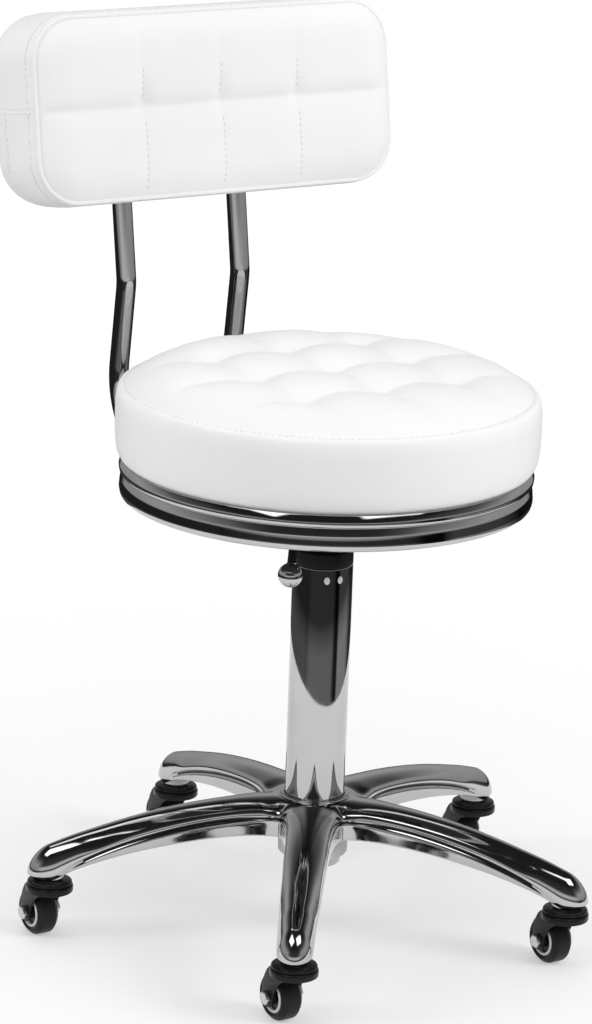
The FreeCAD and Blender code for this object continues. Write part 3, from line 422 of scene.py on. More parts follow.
wheelBlack = coatFinish("wheelBlack", grey(0.008), grey(0.014), 0.28, 0.40, 500, 0.08, 0.0002, 0.3)
silverPaint = coatFinish("silverPaint", (0.60, 0.60, 0.61), (0.72, 0.72, 0.73), 0.25, 0.38, 300, 0.08, 0.0002)
paleThread = coatFinish("paleThread", (0.73, 0.73, 0.72), (0.82, 0.82, 0.81), 0.55, 0.70, 1500, 0.2, 0.0002)
leatherette = leatheretteFinish()
plywood = plywoodFinish(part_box("seat_board")[0][2])
foamFill = coatFinish("foamFill", (0.78, 0.75, 0.64), (0.86, 0.83, 0.73), 0.8, 0.95, 700, 0.5, 0.001)
slotFinish = {"polished_alloy": alloy, "chrome_steel": chrome, "black_plastic": blackPlastic,
              "bright_steel": groundSteel, "zinc_steel": zincSteel, "black_steel": blackCoat,
              "black_rubber": blackRubber, "wheel_core": wheelBlack, "plywood": plywood, "foam": foamFill,
              "white_leatherette": leatherette}
for part in frame["record"]["subparts"]:
    node = nodes[part["node"]]
    node.data.materials.clear()
    node.data.materials.append(slotFinish[part["material_slot"]])
print("stage: finishes on the CAD nodes")


# star base: a cage of arm sections drawn from the hub to the round nose, thickened and smoothed

starBase = {"arms": 5, "firstAngle": 90, "stemCircle": 224, "crest": 116.5, "droop": 32.5, "flatRadius": 40,
            "half": (19.6, 14.8), "depth": (28, 23.6), "wall": 3.4,
            "flare": 9, "flareEnd": 80, "columnRadius": 25,
            "shoulderRise": 1.6, "cornerShare": 0.7, "cornerMost": 0.70,
            "tuck": 3.4, "tuckEase": 8, "tuckCurve": 1.5,
            "noseDrop": 5.0, "dropEase": 10, "noseStretch": 4.5,
            "grooveDepth": 2.0, "grooveHeight": 2.4, "grooveMost": 1.2, "grooveRamp": 1.0, "rampMost": 0.25,
            "groovePlace": (0.56, 0.12), "grooveEase": 2.2,
            "grooveStart": 5, "grooveFade": (12, 0.94), "grooveEnd": 204, "grooveColumns": (4, 5),
            "stations": [46, 54, 64, 78, 96, 118, 142, 166, 186, 200, 208, 213, 218, 224],
            "noseTurns": [18, 36, 54, 72, 90],
            "crotch": [(44.5, 88.5), (44.5, 89.5), (44.2, 95.2), (43.8, 101.9), (43.4, 103.3), (42.8, 105.3),
                       (42.2, 106.6), (41.4, 108)],
            "hubReach": (33.6, 4.0), "hubTop": (116.2, 4.6, 1.6), "collarEdge": 37.8, "collarFoot": 111.4,
            "collar": [(25.05, 118), (27.6, 118), (28.3, 117.6), (28.5, 116.6), (29.4, 115.9), (31.2, 115.8)],
            "core": [(24.2, 66), (29, 66, 2), (29, 85, 2), (33, 88, 2), (33, 110), (25.05, 110)],
            "plug": [(5.6, 55.6), (11.6, 55.6, 1), (11.6, 72), (5.6, 72)],
            "ribs": [80, 122, 164], "ribThick": 2.6, "ribInset": 2.8, "ribLow": 6, "ribHigh": 2}


def between(first, last, share):
    return first + (last - first) * share


def armAngle(k):
    return starBase["firstAngle"] + 360 / starBase["arms"] * k


def armEnd(k):  # where the stem of an arm's caster stands
    angle = math.radians(armAngle(k))
    return starBase["stemCircle"] * math.cos(angle), starBase["stemCircle"] * math.sin(angle), 0


def armShare(radius):  # 0 at the hub, 1 at the stem
    return max(0, radius - starBase["flatRadius"]) / (starBase["stemCircle"] - starBase["flatRadius"])


def armHalf(radius):
    flare = max(0, starBase["flareEnd"] - radius) / (starBase["flareEnd"] - starBase["columnRadius"])
    return between(*starBase["half"], armShare(radius)) + starBase["flare"] * flare ** 2


def archPoints(half, shoulder, crest):  # three-centre arch, or an oval where it is taller than a half circle
    rise = crest - shoulder
    if rise > half:
        angles = [math.pi / 12 * k for k in range(1, 6)]
        return [(half * math.cos(t), shoulder + rise * math.sin(t)) for t in angles] + [(0, crest)]
    corner = min(starBase["cornerShare"] * rise, starBase["cornerMost"] * half)
    inner = half - corner
    crown = (inner ** 2 + rise ** 2 - corner ** 2) / (2 * (rise - corner))
    turn = math.asin(inner / (crown - corner))
    points = []
    for k in (1, 2, 3):
        angle = math.pi / 2 + (turn - math.pi / 2) * k / 3
        points.append((inner + corner * math.sin(angle), shoulder + corner * math.cos(angle)))
    for k in (1, 2, 3):
        angle = turn * (1 - k / 3)
        points.append((crown * math.sin(angle), crest - crown * (1 - math.cos(angle))))
    return points


def armSection(radius):  # right half, from the lower edge up to the crest
    share = armShare(radius)
    crest = starBase["crest"] - starBase["droop"] * share ** 2
    drop = starBase["noseDrop"] * share ** starBase["dropEase"]
    depth = between(*starBase["depth"], share)
    half = armHalf(radius)
    bottom = crest - depth - drop
    ease = share ** starBase["grooveEase"]
    groove = crest - depth * (1 - between(*starBase["groovePlace"], ease)) - drop
    opening = min(starBase["grooveHeight"], starBase["grooveMost"] * (groove - bottom))
    low, high = groove - opening / 2, groove + opening / 2
    steep, end = starBase["grooveFade"]
    cut = starBase["grooveDepth"] * min(1, starBase["grooveStart"] * share, max(0, steep * (end - share)))
    shoulder = high + starBase["shoulderRise"]
    skirt = low - bottom
    ramp = min(starBase["grooveRamp"], starBase["rampMost"] * skirt)
    side = [(half, bottom), (half, bottom + min(1, 0.2 * skirt)), (half, bottom + 0.5 * skirt),
            (half, low - ramp), (half - cut, low), (half - cut, high),
            (half, high + starBase["grooveRamp"] * 0.8), (half, shoulder)]
    tuck = starBase["tuck"] * share ** starBase["tuckEase"]
    points = []
    for v, z in side:  # near the nose the side is drawn in towards its lower edge
        fall = (shoulder - z) / (shoulder - bottom)
        points.append((v - tuck * fall ** starBase["tuckCurve"], z))
    return points + archPoints(half, shoulder, crest)


def sectionRow(half):  # right half mirrored to the left
    return half + [(-v, z) for v, z in reversed(half[:-1])]


def hubRow():  # where two arms meet, and round the foot of the column between those lines
    wedge = math.pi / starBase["arms"]
    inner, spread = starBase["hubReach"]
    top, fall, curve = starBase["hubTop"]
    right = [(r * math.cos(wedge), r * math.sin(wedge), z) for r, z in starBase["crotch"]]
    for k in range(6):
        share = 1 - k / 5
        reach, around = inner + spread * share ** 2, wedge * share
        right.append((reach * math.cos(around), reach * math.sin(around), top - fall * share ** curve))
    return right + [(u, -v, z) for u, v, z in reversed(right[:-1])]


def noseRows(last):  # the last section swung round to the tip, stretched, with its crest sloping on
    low, high = last[0][2], max(z for u, v, z in last)
    slope = 2 * starBase["droop"] / (starBase["stemCircle"] - starBase["flatRadius"])
    stretch = 1 + starBase["noseStretch"] / starBase["half"][1]
    rows = []
    for turn in map(math.radians, starBase["noseTurns"]):
        row = []
        for u, v, z in last:
            out = abs(v) * (stretch * math.sin(turn))
            row.append((u + out, v * math.cos(turn), z - slope * out * (z - low) / (high - low)))
        rows.append(row)
    return rows


def layArm(rows):  # one arm's skin on a grid, with painted shade: the floor of its side grooves in a dark metal finish
    columns = len(rows[0])
    clearSelection()
    bpy.ops.mesh.primitive_grid_add(x_subdivisions=columns - 1, y_subdivisions=len(rows) - 1, size=1)
    arm = named("starArm")
    spots = []
    for corner in arm.data.vertices:  # the grid's own corners, counted by place
        column = round((corner.co.x + 0.5) * (columns - 1))
        row = round((corner.co.y + 0.5) * (len(rows) - 1))
        spots.append((column, row))
        corner.co = Vector(rows[row][column]) * mm
    arm.data.materials.append(alloy)
    arm.data.materials.append(groovePaintedShade)
    right = set(starBase["grooveColumns"])
    left = {columns - 1 - column for column in right}
    lastRow = sum(radius <= starBase["grooveEnd"] for radius in starBase["stations"])
    # painted shade: the groove floor faces get the dark metal, up to the end of the groove
    for face in arm.data.polygons:
        used = {spots[i][0] for i in face.vertices}
        if used in (right, left) and max(spots[i][1] for i in face.vertices) <= lastRow:
            face.material_index = 1
    return arm


def addCollar(arm):  # the top of the hub drawn in to the column
    wedge = math.pi / starBase["arms"]
    reach, foot = starBase["collarEdge"] * mm, starBase["collarFoot"] * mm

    def onHub(edge):
        return edge.is_boundary and all(math.hypot(*c.co.xy) < reach and c.co.z > foot for c in edge.verts)

    openEdit(arm, "EDGE")
    selectBy(arm, "EDGE", onHub)
    for radius, height in reversed(starBase["collar"]):

        def drawnIn(spot):
            around = max(-wedge, min(wedge, math.atan2(spot.y, spot.x)))
            return Vector((radius * math.cos(around), radius * math.sin(around), height)) * mm

        drawOut(arm, drawnIn)
    closeEdit()


def buildRib(radius):  # a plate across the hollow of an arm
    section = armSection(radius)
    low, high = section[0][1] + starBase["ribLow"], section[7][1] + starBase["ribHigh"]
    half = section[0][0] - starBase["ribInset"]
    rib = cutPlate("rib", [(-half, low), (half, low), (half, high), (-half, high)], starBase["ribThick"])
    rib.location = (radius * mm, 0, 0)
    settle(rib)
    return rib


def buildStarBase():
    rows = [hubRow()]
    for radius in starBase["stations"]:
        rows.append([(radius, v, z) for v, z in sectionRow(armSection(radius))])
    arm = layArm(rows + noseRows(rows[-1]))
    addCollar(arm)
    arms = [copied(arm, "starArm%d" % k, turn=armAngle(k)) for k in range(starBase["arms"])]
    bpy.data.objects.remove(arm)
    shell = joined("starBase", arms)
    tidyMesh(shell, 0.0001)
    wall = shell.modifiers.new("wall", "SOLIDIFY")
    wall.thickness = starBase["wall"] * mm
    wall.offset = -1
    wall.use_even_offset = False
    addSmoothing(shell, 2)
    applyModifiers(shell)
    parts = [shell, turnPiece("hubCore", starBase["core"], 72, True)]
    plug = turnPiece("nosePlug", starBase["plug"], 40, True)
    for k in range(starBase["arms"]):
        parts.append(copied(plug, "nosePlug%d" % k, armEnd(k)))
        for radius in starBase["ribs"]:
            rib = buildRib(radius)
            parts.append(copied(rib, "rib%d" % k, turn=armAngle(k)))
            bpy.data.objects.remove(rib)
    bpy.data.objects.remove(plug)
    base = joined("starBase", parts)
    smoothOff(base, 40)
    return base


place(buildStarBase(), "base", None, "polished_alloy", "star_base")
print("stage: star base")


# column, collar and lift

liftPieces = {
    "columnTube": ("base", chrome, "chrome_steel", 96, "column_tube",
                   [(4.8, 58), (23.5, 58, 0.8), (25, 118), (25, 318, 0.9), (23, 318), (23, 118), (21.5, 62),
                    (4.8, 62)]),
    "columnCollar": ("base", blackPlastic, "black_plastic", 96, "guide_bush",
                     [(14.1, 256), (22.9, 256), (22.9, 318.05), (24.4, 318.05, 0.4), (25, 318.9, 0.4),
                      (25, 330, 0.5), (22, 333, 0.6), (18.2, 333, 0.5), (17.6, 332.2), (14.1, 332.2)]),
    "liftCylinder": ("seat", blackCoat, "black_steel", 64, "pressure_cylinder",
                     [(12.5, 82.9), (14, 82.9, 0.5), (14, 336, 1), (13.2, 352.3, 0.5), (2.6, 352.3),
                      (2.6, 330), (12.5, 330)])}
for name, (body, finish, slotName, sides, node, corners) in liftPieces.items():
    place(turnPiece(name, corners, sides, True), body, finish, slotName, node)
columnDimples = {"angles": (-114.3, -87.3), "height": 308.5, "size": (1.0, 2.5, 3.4), "sink": 0.35}


def addDimples(column):  # two pressed studs that hold the guide bush
    parts = [column]
    reach = (starBase["columnRadius"] - columnDimples["sink"]) * mm
    for angle in columnDimples["angles"]:
        clearSelection()
        bpy.ops.mesh.primitive_uv_sphere_add(segments=24, ring_count=14, radius=1)
        stud = named("columnStud")
        stud.scale = [value * mm for value in columnDimples["size"]]
        settle(stud)
        turn = math.radians(angle)
        stud.rotation_euler = (0, 0, turn)
        stud.location = (reach * math.cos(turn), reach * math.sin(turn), columnDimples["height"] * mm)
        settle(stud)
        smoothAll(stud)
        parts.append(stud)
    return joined(column.name, parts)


addDimples(bpy.data.objects["columnTube"])
print("stage: column and lift")


# chrome ring under the seat

seatRing = {"sides": 192,
            "profile": [(149, 374.5), (168.4, 374.5, 3.2), (169.6, 380, 8), (168.9, 387.6, 6),
                        (166.8, 392.4, 1.5), (166.2, 393.6, 0.6), (169.5, 394.6, 2.2), (170.2, 398.8, 3.4),
                        (166.8, 404.4, 3.0), (165.2, 405), (164.7, 376.2, 1.2), (149, 375.7)]}
ring = turnPiece("seatRing", seatRing["profile"], seatRing["sides"], True)
place(ring, "seat", chrome, "chrome_steel", "seat_ring")


# backrest tubes: along under the board, up behind the seat, a kink, then up into the pad

backTube = {"radius": 8.5, "sides": 36, "spacing": 113.2, "start": (20, 365.7),
            "runs": [("go", 159.75), ("bend", 64, 97.1), ("go", 67.27), ("bend", 40, -16.1), ("go", 193.2)]}


def buildTube(name, side):
    tube = bendTube(name, backTube["radius"], backTube["sides"], backTube["start"], backTube["runs"])
    tube.rotation_euler = (0, 0, math.pi / 2)
    tube.location = (side * backTube["spacing"] / 2 * mm, 0, 0)
    settle(tube)
    return tube


place(buildTube("backTubeLeft", -1), "seat", chrome, "chrome_steel", "back_tube_left")
place(buildTube("backTubeRight", 1), "seat", chrome, "chrome_steel", "back_tube_right")
print("stage: ring and tubes")


# release lever

lever = {"angle": -138.2, "pivot": 31, "height": 360.3, "rod": 3.5, "rodSides": 24,
         "runs": [("go", 51.67), ("bend", 13, -74.2), ("go", 12.2)],
         "eye": (15, 8, 10), "finger": (36, 7, 7), "fingerReach": 13, "blockEdge": 1.0,
         "ball": 10, "ballSides": 56, "ballReach": 100, "ballHeight": 333.8,
         "ballTurns": 18, "ballSweep": 158,
         "neck": [(3.9, 9.9), (3.6, 9.9), (3.55, 7)], "tip": (7.5, 0, -26.5)}


def leverBlock(name, size, centre):
    clearSelection()
    bpy.ops.mesh.primitive_cube_add(size=1, location=[value * mm for value in centre])
    block = named(name)
    block.scale = [value * mm for value in size]
    settle(block)
    softenEdges(block, lever["blockEdge"])
    return block


def buildLever():
    pivot, height = lever["pivot"], lever["height"]
    rod = bendTube("leverRod", lever["rod"], lever["rodSides"], (pivot, height), lever["runs"])
    eye = leverBlock("leverEye", lever["eye"], (pivot, 0, height))
    finger = leverBlock("leverFinger", lever["finger"], (lever["fingerReach"], 0, height))
    whole = joined("leverRod", [rod, eye, finger])
    whole.rotation_euler = (0, 0, math.radians(lever["angle"]))
    settle(whole)
    return whole


def buildBall():  # a ball with a neck that takes the end of the rod
    size, turns = lever["ball"], lever["ballTurns"]
    profile = [(0.4, -size)]
    for k in range(1, turns + 1):
        angle = math.radians(-90 + lever["ballSweep"] * k / turns)
        profile.append((size * math.cos(angle), size * math.sin(angle)))
    ball = turnPiece("leverBall", profile + lever["neck"], lever["ballSides"], False)
    tip = Vector(lever["tip"]).normalized()
    ball.rotation_euler = (0, math.atan2(-tip.x, -tip.z), 0)
    ball.location = (lever["ballReach"] * mm, 0, lever["ballHeight"] * mm)
    settle(ball)
    ball.rotation_euler = (0, 0, math.radians(lever["angle"]))
    settle(ball)
    return ball


place(buildLever(), "lever", blackCoat, "black_steel", "lever_rod")
place(buildBall(), "lever", chrome, "chrome_steel", "lever_ball")
print("stage: lever")


# casters

caster = {"trail": 18, "axle": 20,
          "tread": [(13.5, -8.5), (16, -10, 1.5), (20, -6, 3), (20, 6, 3), (16, 10, 1.5), (13.5, 8.5)],
          "hub": [(3.1, -10), (6.1, -10, 0.5), (6.1, -6.5), (8.2, -6.5), (11, -6.5), (11.2, -6.5),
                  (11.2, -9.5, 0.4), (13.45, -8.6, 0.4), (13.45, 0)],
          "ringFrom": 11.1, "ringSide": 6.6,
          "race": [(4.1, 50.2), (18.6, 50.2, 1.2), (18.6, 52.6, 1.6), (13, 53.8, 0.8), (4.1, 53.8)],
          "stem": [(3.9, 46), (4, 54), (8, 54, 0.5), (8, 60.3, 1), (5.5, 60.3), (5.5, 72.4, 1), (0.5, 72.4)],
          "crown": [(4.1, 46.9), (15, 46.9), (16.8, 43.6), (19.6, 43.6, 1), (19.6, 49.9, 2.2), (4.1, 49.9)],
          "legInner": 10.8, "legThick": 2.0, "legEdge": 0.6, "eye": 8.2, "eyeWrap": 215, "waist": 12.6,
          "legRear": [(8.2, 0), (8.5, 9), (5.6, 18)],
          "legTop": [(20.5, 43.6), (17, 47.2), (-9, 47.2), (-12.5, 43.4)],
          "headFlats": 10, "headHeight": 3.6, "nutHeight": 4.6, "shank": 3, "shankOut": 6.2}


def arcThrough(first, middle, last, count):  # points after the first, up to the last
    a, b, c = Vector(first), Vector(middle), Vector(last)
    squares = a.length_squared, b.length_squared, c.length_squared
    d = 2 * (a.x * (b.y - c.y) + b.x * (c.y - a.y) + c.x * (a.y - b.y))
    ux = sum(s * gap for s, gap in zip(squares, (b.y - c.y, c.y - a.y, a.y - b.y))) / d
    uy = sum(s * gap for s, gap in zip(squares, (c.x - b.x, a.x - c.x, b.x - a.x))) / d
    centre = Vector((ux, uy))
    start = math.atan2(*(a - centre).yx)
    way = math.copysign(1, (b - a).cross(c - b))
    sweep = (way * (math.atan2(*(c - centre).yx) - start)) % (2 * math.pi)
    reach = (a - centre).length
    angles = [start + way * sweep * k / count for k in range(1, count + 1)]
    return [(ux + reach * math.cos(t), uy + reach * math.sin(t)) for t in angles]


def legOutline():  # along Y and up Z, as the side of the fork shows it
    axleY, axleZ, eye = caster["trail"], caster["axle"], caster["eye"]
    wrap = math.radians(caster["eyeWrap"])
    touch = (axleY + eye * math.cos(wrap), axleZ + eye * math.sin(wrap))
    waist = (axleY - caster["waist"], axleZ + caster["waist"])
    points = [(axleY + y, axleZ + z) for y, z in caster["legRear"]] + caster["legTop"]
    points += arcThrough(points[-1], waist, touch, 10)
    points += arcThrough(touch, (axleY, axleZ - eye), points[0], 12)[:-1]
    return points


def onAxle(piece):  # turned from Z to X and moved to the wheel's place
    piece.rotation_euler = (0, math.pi / 2, 0)
    piece.location = (0, caster["trail"] * mm, caster["axle"] * mm)
    settle(piece)
    return piece


def buildFork():
    crown = turnPiece("forkCrown", caster["crown"], 64, True)
    legs = []
    for side in (-1, 1):
        leg = cutPlate("forkLeg", legOutline(), caster["legThick"])
        start = caster["legInner"] if side > 0 else -caster["legInner"] - caster["legThick"]
        leg.location = (start * mm, 0, 0)
        settle(leg)
        softenEdges(leg, caster["legEdge"])
        legs.append(leg)
    return joined("casterFork", [crown] + legs)


def buildHub():
    low = caster["hub"]
    high = [(r, -z, *rest) for r, z, *rest in reversed(low[:-1])]
    hub = turnPiece("wheelHub", low + high, 56, True)
    hub.data.materials.append(wheelBlack)
    hub.data.materials.append(silverPaint)
    for face in hub.data.polygons:  # the bright ring round each side
        reach = math.hypot(*face.center.xy) / mm
        if reach > caster["ringFrom"] and abs(face.center.z) / mm > caster["ringSide"]:
            face.material_index = 1
    return onAxle(hub)


def hexHead(name, height, start, way):
    clearSelection()
    radius = caster["headFlats"] / math.sqrt(3)
    bpy.ops.mesh.primitive_cylinder_add(vertices=6, radius=radius * mm, depth=height * mm)
    head = named(name)
    openEdit(head, "FACE")
    selectBy(head, "FACE", lambda face: face.normal.z > 0.9)
    bpy.ops.mesh.inset(thickness=0.7 * mm, depth=0.5 * mm)
    closeEdit()
    softenEdges(head, 0.25, 2, 20)
    head.rotation_euler = (0, way * math.pi / 2, 0)
    head.location = ((start + way * height / 2) * mm, caster["trail"] * mm, caster["axle"] * mm)
    settle(head)
    return head


def buildAxle():
    out = caster["legInner"] + caster["legThick"] + 0.1
    end, shank = out + caster["shankOut"], caster["shank"]
    head = hexHead("axleHead", caster["headHeight"], -out, -1)
    nut = hexHead("axleNut", caster["nutHeight"], out, 1)
    pin = turnPiece("axleShank", [(0.4, -out), (shank, -out), (shank, end, 0.6), (0.4, end)], 32, False)
    return joined("axleBolt", [head, nut, onAxle(pin)])


def buildCasters():
    race = turnPiece("casterRace", caster["race"], 64, True)
    stem = turnPiece("casterStem", caster["stem"], 40, False)
    fork, hub, axle = buildFork(), buildHub(), buildAxle()
    tread = onAxle(turnPiece("wheelTread", caster["tread"], 72, True))
    kinds = [(fork, "casterFork", "caster", blackCoat, "black_steel", "fork"),
             (axle, "axleBolt", "caster", zincSteel, "zinc_steel", "axle"),
             (tread, "wheelTread", "wheel", blackRubber, "black_rubber", "wheel_tread"),
             (hub, "wheelHub", "wheel", None, "wheel_core", "wheel_hub")]
    races, stems = [], []
    for k in range(starBase["arms"]):
        n, spot = k + 1, armEnd(k)
        races.append(copied(race, "race", spot))
        stems.append(copied(stem, "stem", spot))
        for pattern, name, body, finish, slotName, node in kinds:
            twin = copied(pattern, "%s%d" % (name, n), spot)
            place(twin, "%s_%d" % (body, n), finish, slotName, "%s_%d" % (node, n))
    place(joined("casterRaces", races), "base", blackCoat, "black_steel", "caster_races")
    place(joined("casterStems", stems), "base", zincSteel, "zinc_steel", "caster_stems")
    for pattern in (race, stem, fork, hub, axle, tread):
        bpy.data.objects.remove(pattern)


buildCasters()
print("stage: casters")


# cushions: a panel cut to its outline, quilted, boxed round its edge and puffed as cloth

panelEase = {"trim": 0.6, "rimRounds": 30, "near": 2.6, "nearRounds": 12}


def coreOf(shape):  # half sizes between the centres of the corner circles
    return shape["halfWidth"] - shape["corner"], shape["halfHeight"] - shape["corner"]


def rimPoint(x, y, shape, grow):
    coreX, coreY = coreOf(shape)
    middle = Vector((max(-coreX, min(coreX, x)), max(-coreY, min(coreY, y))))
    out = Vector((x, y)) - middle
    if out.length < 1e-6:
        out = Vector((0, 1))
    return middle + out.normalized() * (shape["corner"] + grow)


def rimDistance(x, y, shape):  # below zero inside the outline
    coreX, coreY = coreOf(shape)
    dx, dy = abs(x) - coreX, abs(y) - coreY
    return math.hypot(max(dx, 0), max(dy, 0)) + min(max(dx, dy), 0) - shape["corner"]


def layPanel(name, shape, step):  # a grid in millimetres, trimmed to the outline with its edge evened out
    countX, countY = 2 * math.ceil(shape["halfWidth"] / step), 2 * math.ceil(shape["halfHeight"] / step)
    clearSelection()
    bpy.ops.mesh.primitive_grid_add(x_subdivisions=countX, y_subdivisions=countY, size=1)
    panel = named(name)
    panel.scale = (countX * step, countY * step, 1)
    settle(panel)
    openEdit(panel)
    trim, near = -panelEase["trim"] * step, -panelEase["near"] * step
    selectBy(panel, "VERT", lambda corner: rimDistance(corner.co.x, corner.co.y, shape) > trim)
    bpy.ops.mesh.delete(type="VERT")
    work = bmesh.from_edit_mesh(panel.data)
    edge = [corner for corner in work.verts if corner.is_boundary]
    beside = {corner: [e.other_vert(corner) for e in corner.link_edges if e.is_boundary] for corner in edge}
    for corner in edge:
        corner.co.xy = rimPoint(corner.co.x, corner.co.y, shape, 0)
    for k in range(panelEase["rimRounds"]):
        middles = {corner: (beside[corner][0].co.xy + beside[corner][1].co.xy) / 2 for corner in edge}
        for corner, spot in middles.items():
            corner.co.xy = rimPoint(spot.x, spot.y, shape, 0)
    loose = [c for c in work.verts if not c.is_boundary and rimDistance(c.co.x, c.co.y, shape) > near]
    for k in range(panelEase["nearRounds"]):
        middles = {}
        for corner in loose:
            around = [link.other_vert(corner).co.xy for link in corner.link_edges]
            middles[corner] = sum(around, Vector((0, 0))) / len(around)
        for corner, spot in middles.items():
            corner.co.xy = spot
    bmesh.update_edit_mesh(panel.data)
    closeEdit()
    return panel


def cushionBlank(name, shape, topHeight, underHeight):  # top panel, boxing drawn out row by row, under panel
    blank = layPanel(name, shape, shape["step"])
    openEdit(blank)
    bpy.ops.mesh.duplicate()
    grow, low = shape["rows"][-1]
    shrinkX, shrinkY = 1 + grow / shape["halfWidth"], 1 + grow / shape["halfHeight"]
    work = bmesh.from_edit_mesh(blank.data)
    for corner in work.verts:
        x, y = corner.co.x, corner.co.y
        if not corner.select:
            corner.co.z = topHeight(x, y)
        elif corner.is_boundary:
            corner.co = Vector((*rimPoint(x, y, shape, grow), low))
        else:
            corner.co = Vector((x * shrinkX, y * shrinkY, underHeight(x, y)))
    middle = (shape["rows"][0][1] + low) / 2
    bpy.ops.mesh.flip_normals()
    selectBy(blank, "EDGE", lambda edge: edge.is_boundary and edge.verts[0].co.z > middle)
    for grow, height in shape["rows"]:
        drawOut(blank, lambda spot: Vector((*rimPoint(spot.x, spot.y, shape, grow), height)))
    closeEdit()
    blank.scale = (mm, mm, mm)
    settle(blank)
    tidyMesh(blank, 0.00005)
    return blank


def puff(cushion, sewn, pressure, cap):  # cloth under pressure, held along its seams
    start = [corner.co.copy() for corner in cushion.data.vertices]
    held = cushion.vertex_groups.new(name="sewn")
    held.add([i for i, corner in enumerate(start) if sewn(corner)], 1.0, "REPLACE")
    pick(cushion)
    cloth = cushion.modifiers.new("puff", "CLOTH")
    cloth.settings.quality = 6
    cloth.settings.mass = 0.25
    cloth.settings.tension_stiffness = 12
    cloth.settings.compression_stiffness = 12
    cloth.settings.shear_stiffness = 4
    cloth.settings.bending_stiffness = 0.4
    cloth.settings.use_pressure = True
    cloth.settings.uniform_pressure_force = pressure
    cloth.settings.vertex_group_mass = "sewn"
    cloth.settings.effector_weights.gravity = 0
    cloth.collision_settings.use_collision = False
    cloth.collision_settings.use_self_collision = False
    for step in range(1, 21):
        bpy.context.scene.frame_set(step)
    bpy.ops.object.modifier_apply(modifier="puff")
    bpy.context.scene.frame_set(1)
    for corner, first in zip(cushion.data.vertices, start):
        move = corner.co - first
        if move.length > cap:
            corner.co = first + move * (cap / move.length)
    cushion.vertex_groups.clear()


def finishCushion(cushion):
    addSmoothing(cushion, 1)
    applyModifiers(cushion)
    smoothAll(cushion)


def pillow(distance, reach, power):  # 0 on a seam, 1 in the middle of a panel
    return 1 - (1 - min(1, distance / reach)) ** power


def dip(distance, depth, reach, power):  # deepest on a seam, nothing in the middle of a panel
    return depth * (1 - pillow(distance, reach, power))


def toSeam(value, pitch):
    return abs((value + pitch / 2) % pitch - pitch / 2)


seatCushion = {"halfWidth": 166, "halfHeight": 166, "corner": 166, "step": 3, "pitch": 72, "crown": 487.5,
               "fall": 22.0, "fallReach": 166, "fallPower": 7,
               "seamDepth": 5.4, "seamCurve": 2.4, "innerReach": 36, "outerReach": 54,
               "tuftDepth": 6.4, "tuftReach": 12, "fadeStart": 164, "fadeReach": 62,
               "rows": [(1.2, 465.4), (2.8, 465.4), (4.4, 464.8), (5.8, 463.2), (6.9, 460), (7.6, 456),
                        (8.0, 451), (8.0, 445), (8.0, 435), (7.8, 425), (7.2, 417), (6.0, 411.6),
                        (4.2, 408), (2.0, 406.2), (0, 405.6), (-1.6, 404), (-2.6, 397), (-5.6, 390.6)],
               "pressure": 3.5, "cap": 0.0035, "heldBelow": 440, "rimHold": 3,
               "stitchPitch": 5.2, "stitchRadius": 166.6}


def seatDome(radius):
    share = radius / seatCushion["fallReach"]
    return seatCushion["crown"] - seatCushion["fall"] * share ** seatCushion["fallPower"]


def seatSeam(value):  # distance to the nearest of the three seams each way
    pitch = seatCushion["pitch"]
    return min(abs(value), abs(abs(value) - pitch))


def seatTop(x, y):
    radius = math.hypot(x, y)
    fx, fy = seatSeam(x), seatSeam(y)
    fade = min(1, max(0, (seatCushion["fadeStart"] - radius) / seatCushion["fadeReach"]))
    fade = fade * fade * (3 - 2 * fade)
    rise = 1
    for value, gap in ((x, fx), (y, fy)):
        reach = seatCushion["outerReach" if abs(value) > seatCushion["pitch"] else "innerReach"]
        rise *= pillow(gap, reach, seatCushion["seamCurve"])
    tuft = math.exp(-(fx * fx + fy * fy) / (2 * seatCushion["tuftReach"] ** 2))
    return seatDome(radius) - fade * (seatCushion["seamDepth"] * (1 - rise) + seatCushion["tuftDepth"] * tuft)


def buildSeatCushion():
    cushion = cushionBlank("seatCushion", seatCushion, seatTop, lambda x, y: seatCushion["rows"][-1][1])
    edge = seatCushion["halfWidth"] * mm - seatCushion["rimHold"] * mm
    seamGap = 0.2 * seatCushion["step"]

    def sewn(corner):  # the seams, the rim and the boxing stay where they are
        radius = math.hypot(corner.x, corner.y)
        onSeam = min(seatSeam(corner.x / mm), seatSeam(corner.y / mm)) < seamGap
        return onSeam or radius > edge or corner.z < seatCushion["heldBelow"] * mm

    puff(cushion, sewn, seatCushion["pressure"], seatCushion["cap"])
    finishCushion(cushion)
    return cushion


seat = buildSeatCushion()
place(seat, "seat", leatherette, "white_leatherette", "seat_cover", "seat_foam")
print("stage: seat cushion")


backPad = {"halfWidth": 170, "halfHeight": 74.5, "corner": 35, "step": 3, "pitch": 75, "crown": 11,
           "rimHeight": 1.5, "rise": 30, "riseCurve": 2.4, "fadeReach": 22,
           "midAbove": (4.6, 26, 3.4), "midBelow": (4.6, 26, 1.8), "crease": (1.6, 4.5, 1.5),
           "seam": (1.0, 24, 2.8), "seamEnd": 112, "seamGap": 0.6, "rimHold": 4,
           "pull": (3.2, 13, 1.7), "pullAbove": (3, 17), "pullBelow": (0.3, 9),
           "rows": [(1.6, -0.6), (3.2, -3.4), (4.5, -8), (5.5, -15), (6, -24), (6, -35), (6, -45.5),
                    (5.4, -54.5), (4.0, -62.4), (1.4, -69.1), (-2.4, -74.8), (-7, -78.8), (-11.6, -81.1),
                    (-16, -82.2)],
           "backSwell": 1.4, "backReach": 45,
           "pressure": 3.5, "cap": 0.003, "centre": (0, 189.6, 670.4), "lean": 9.0,
           "piping": 2.0, "pipingOut": 1.5, "pipingHeight": -0.1, "stitchPitch": 5.2}
leanAngle = math.radians(backPad["lean"])
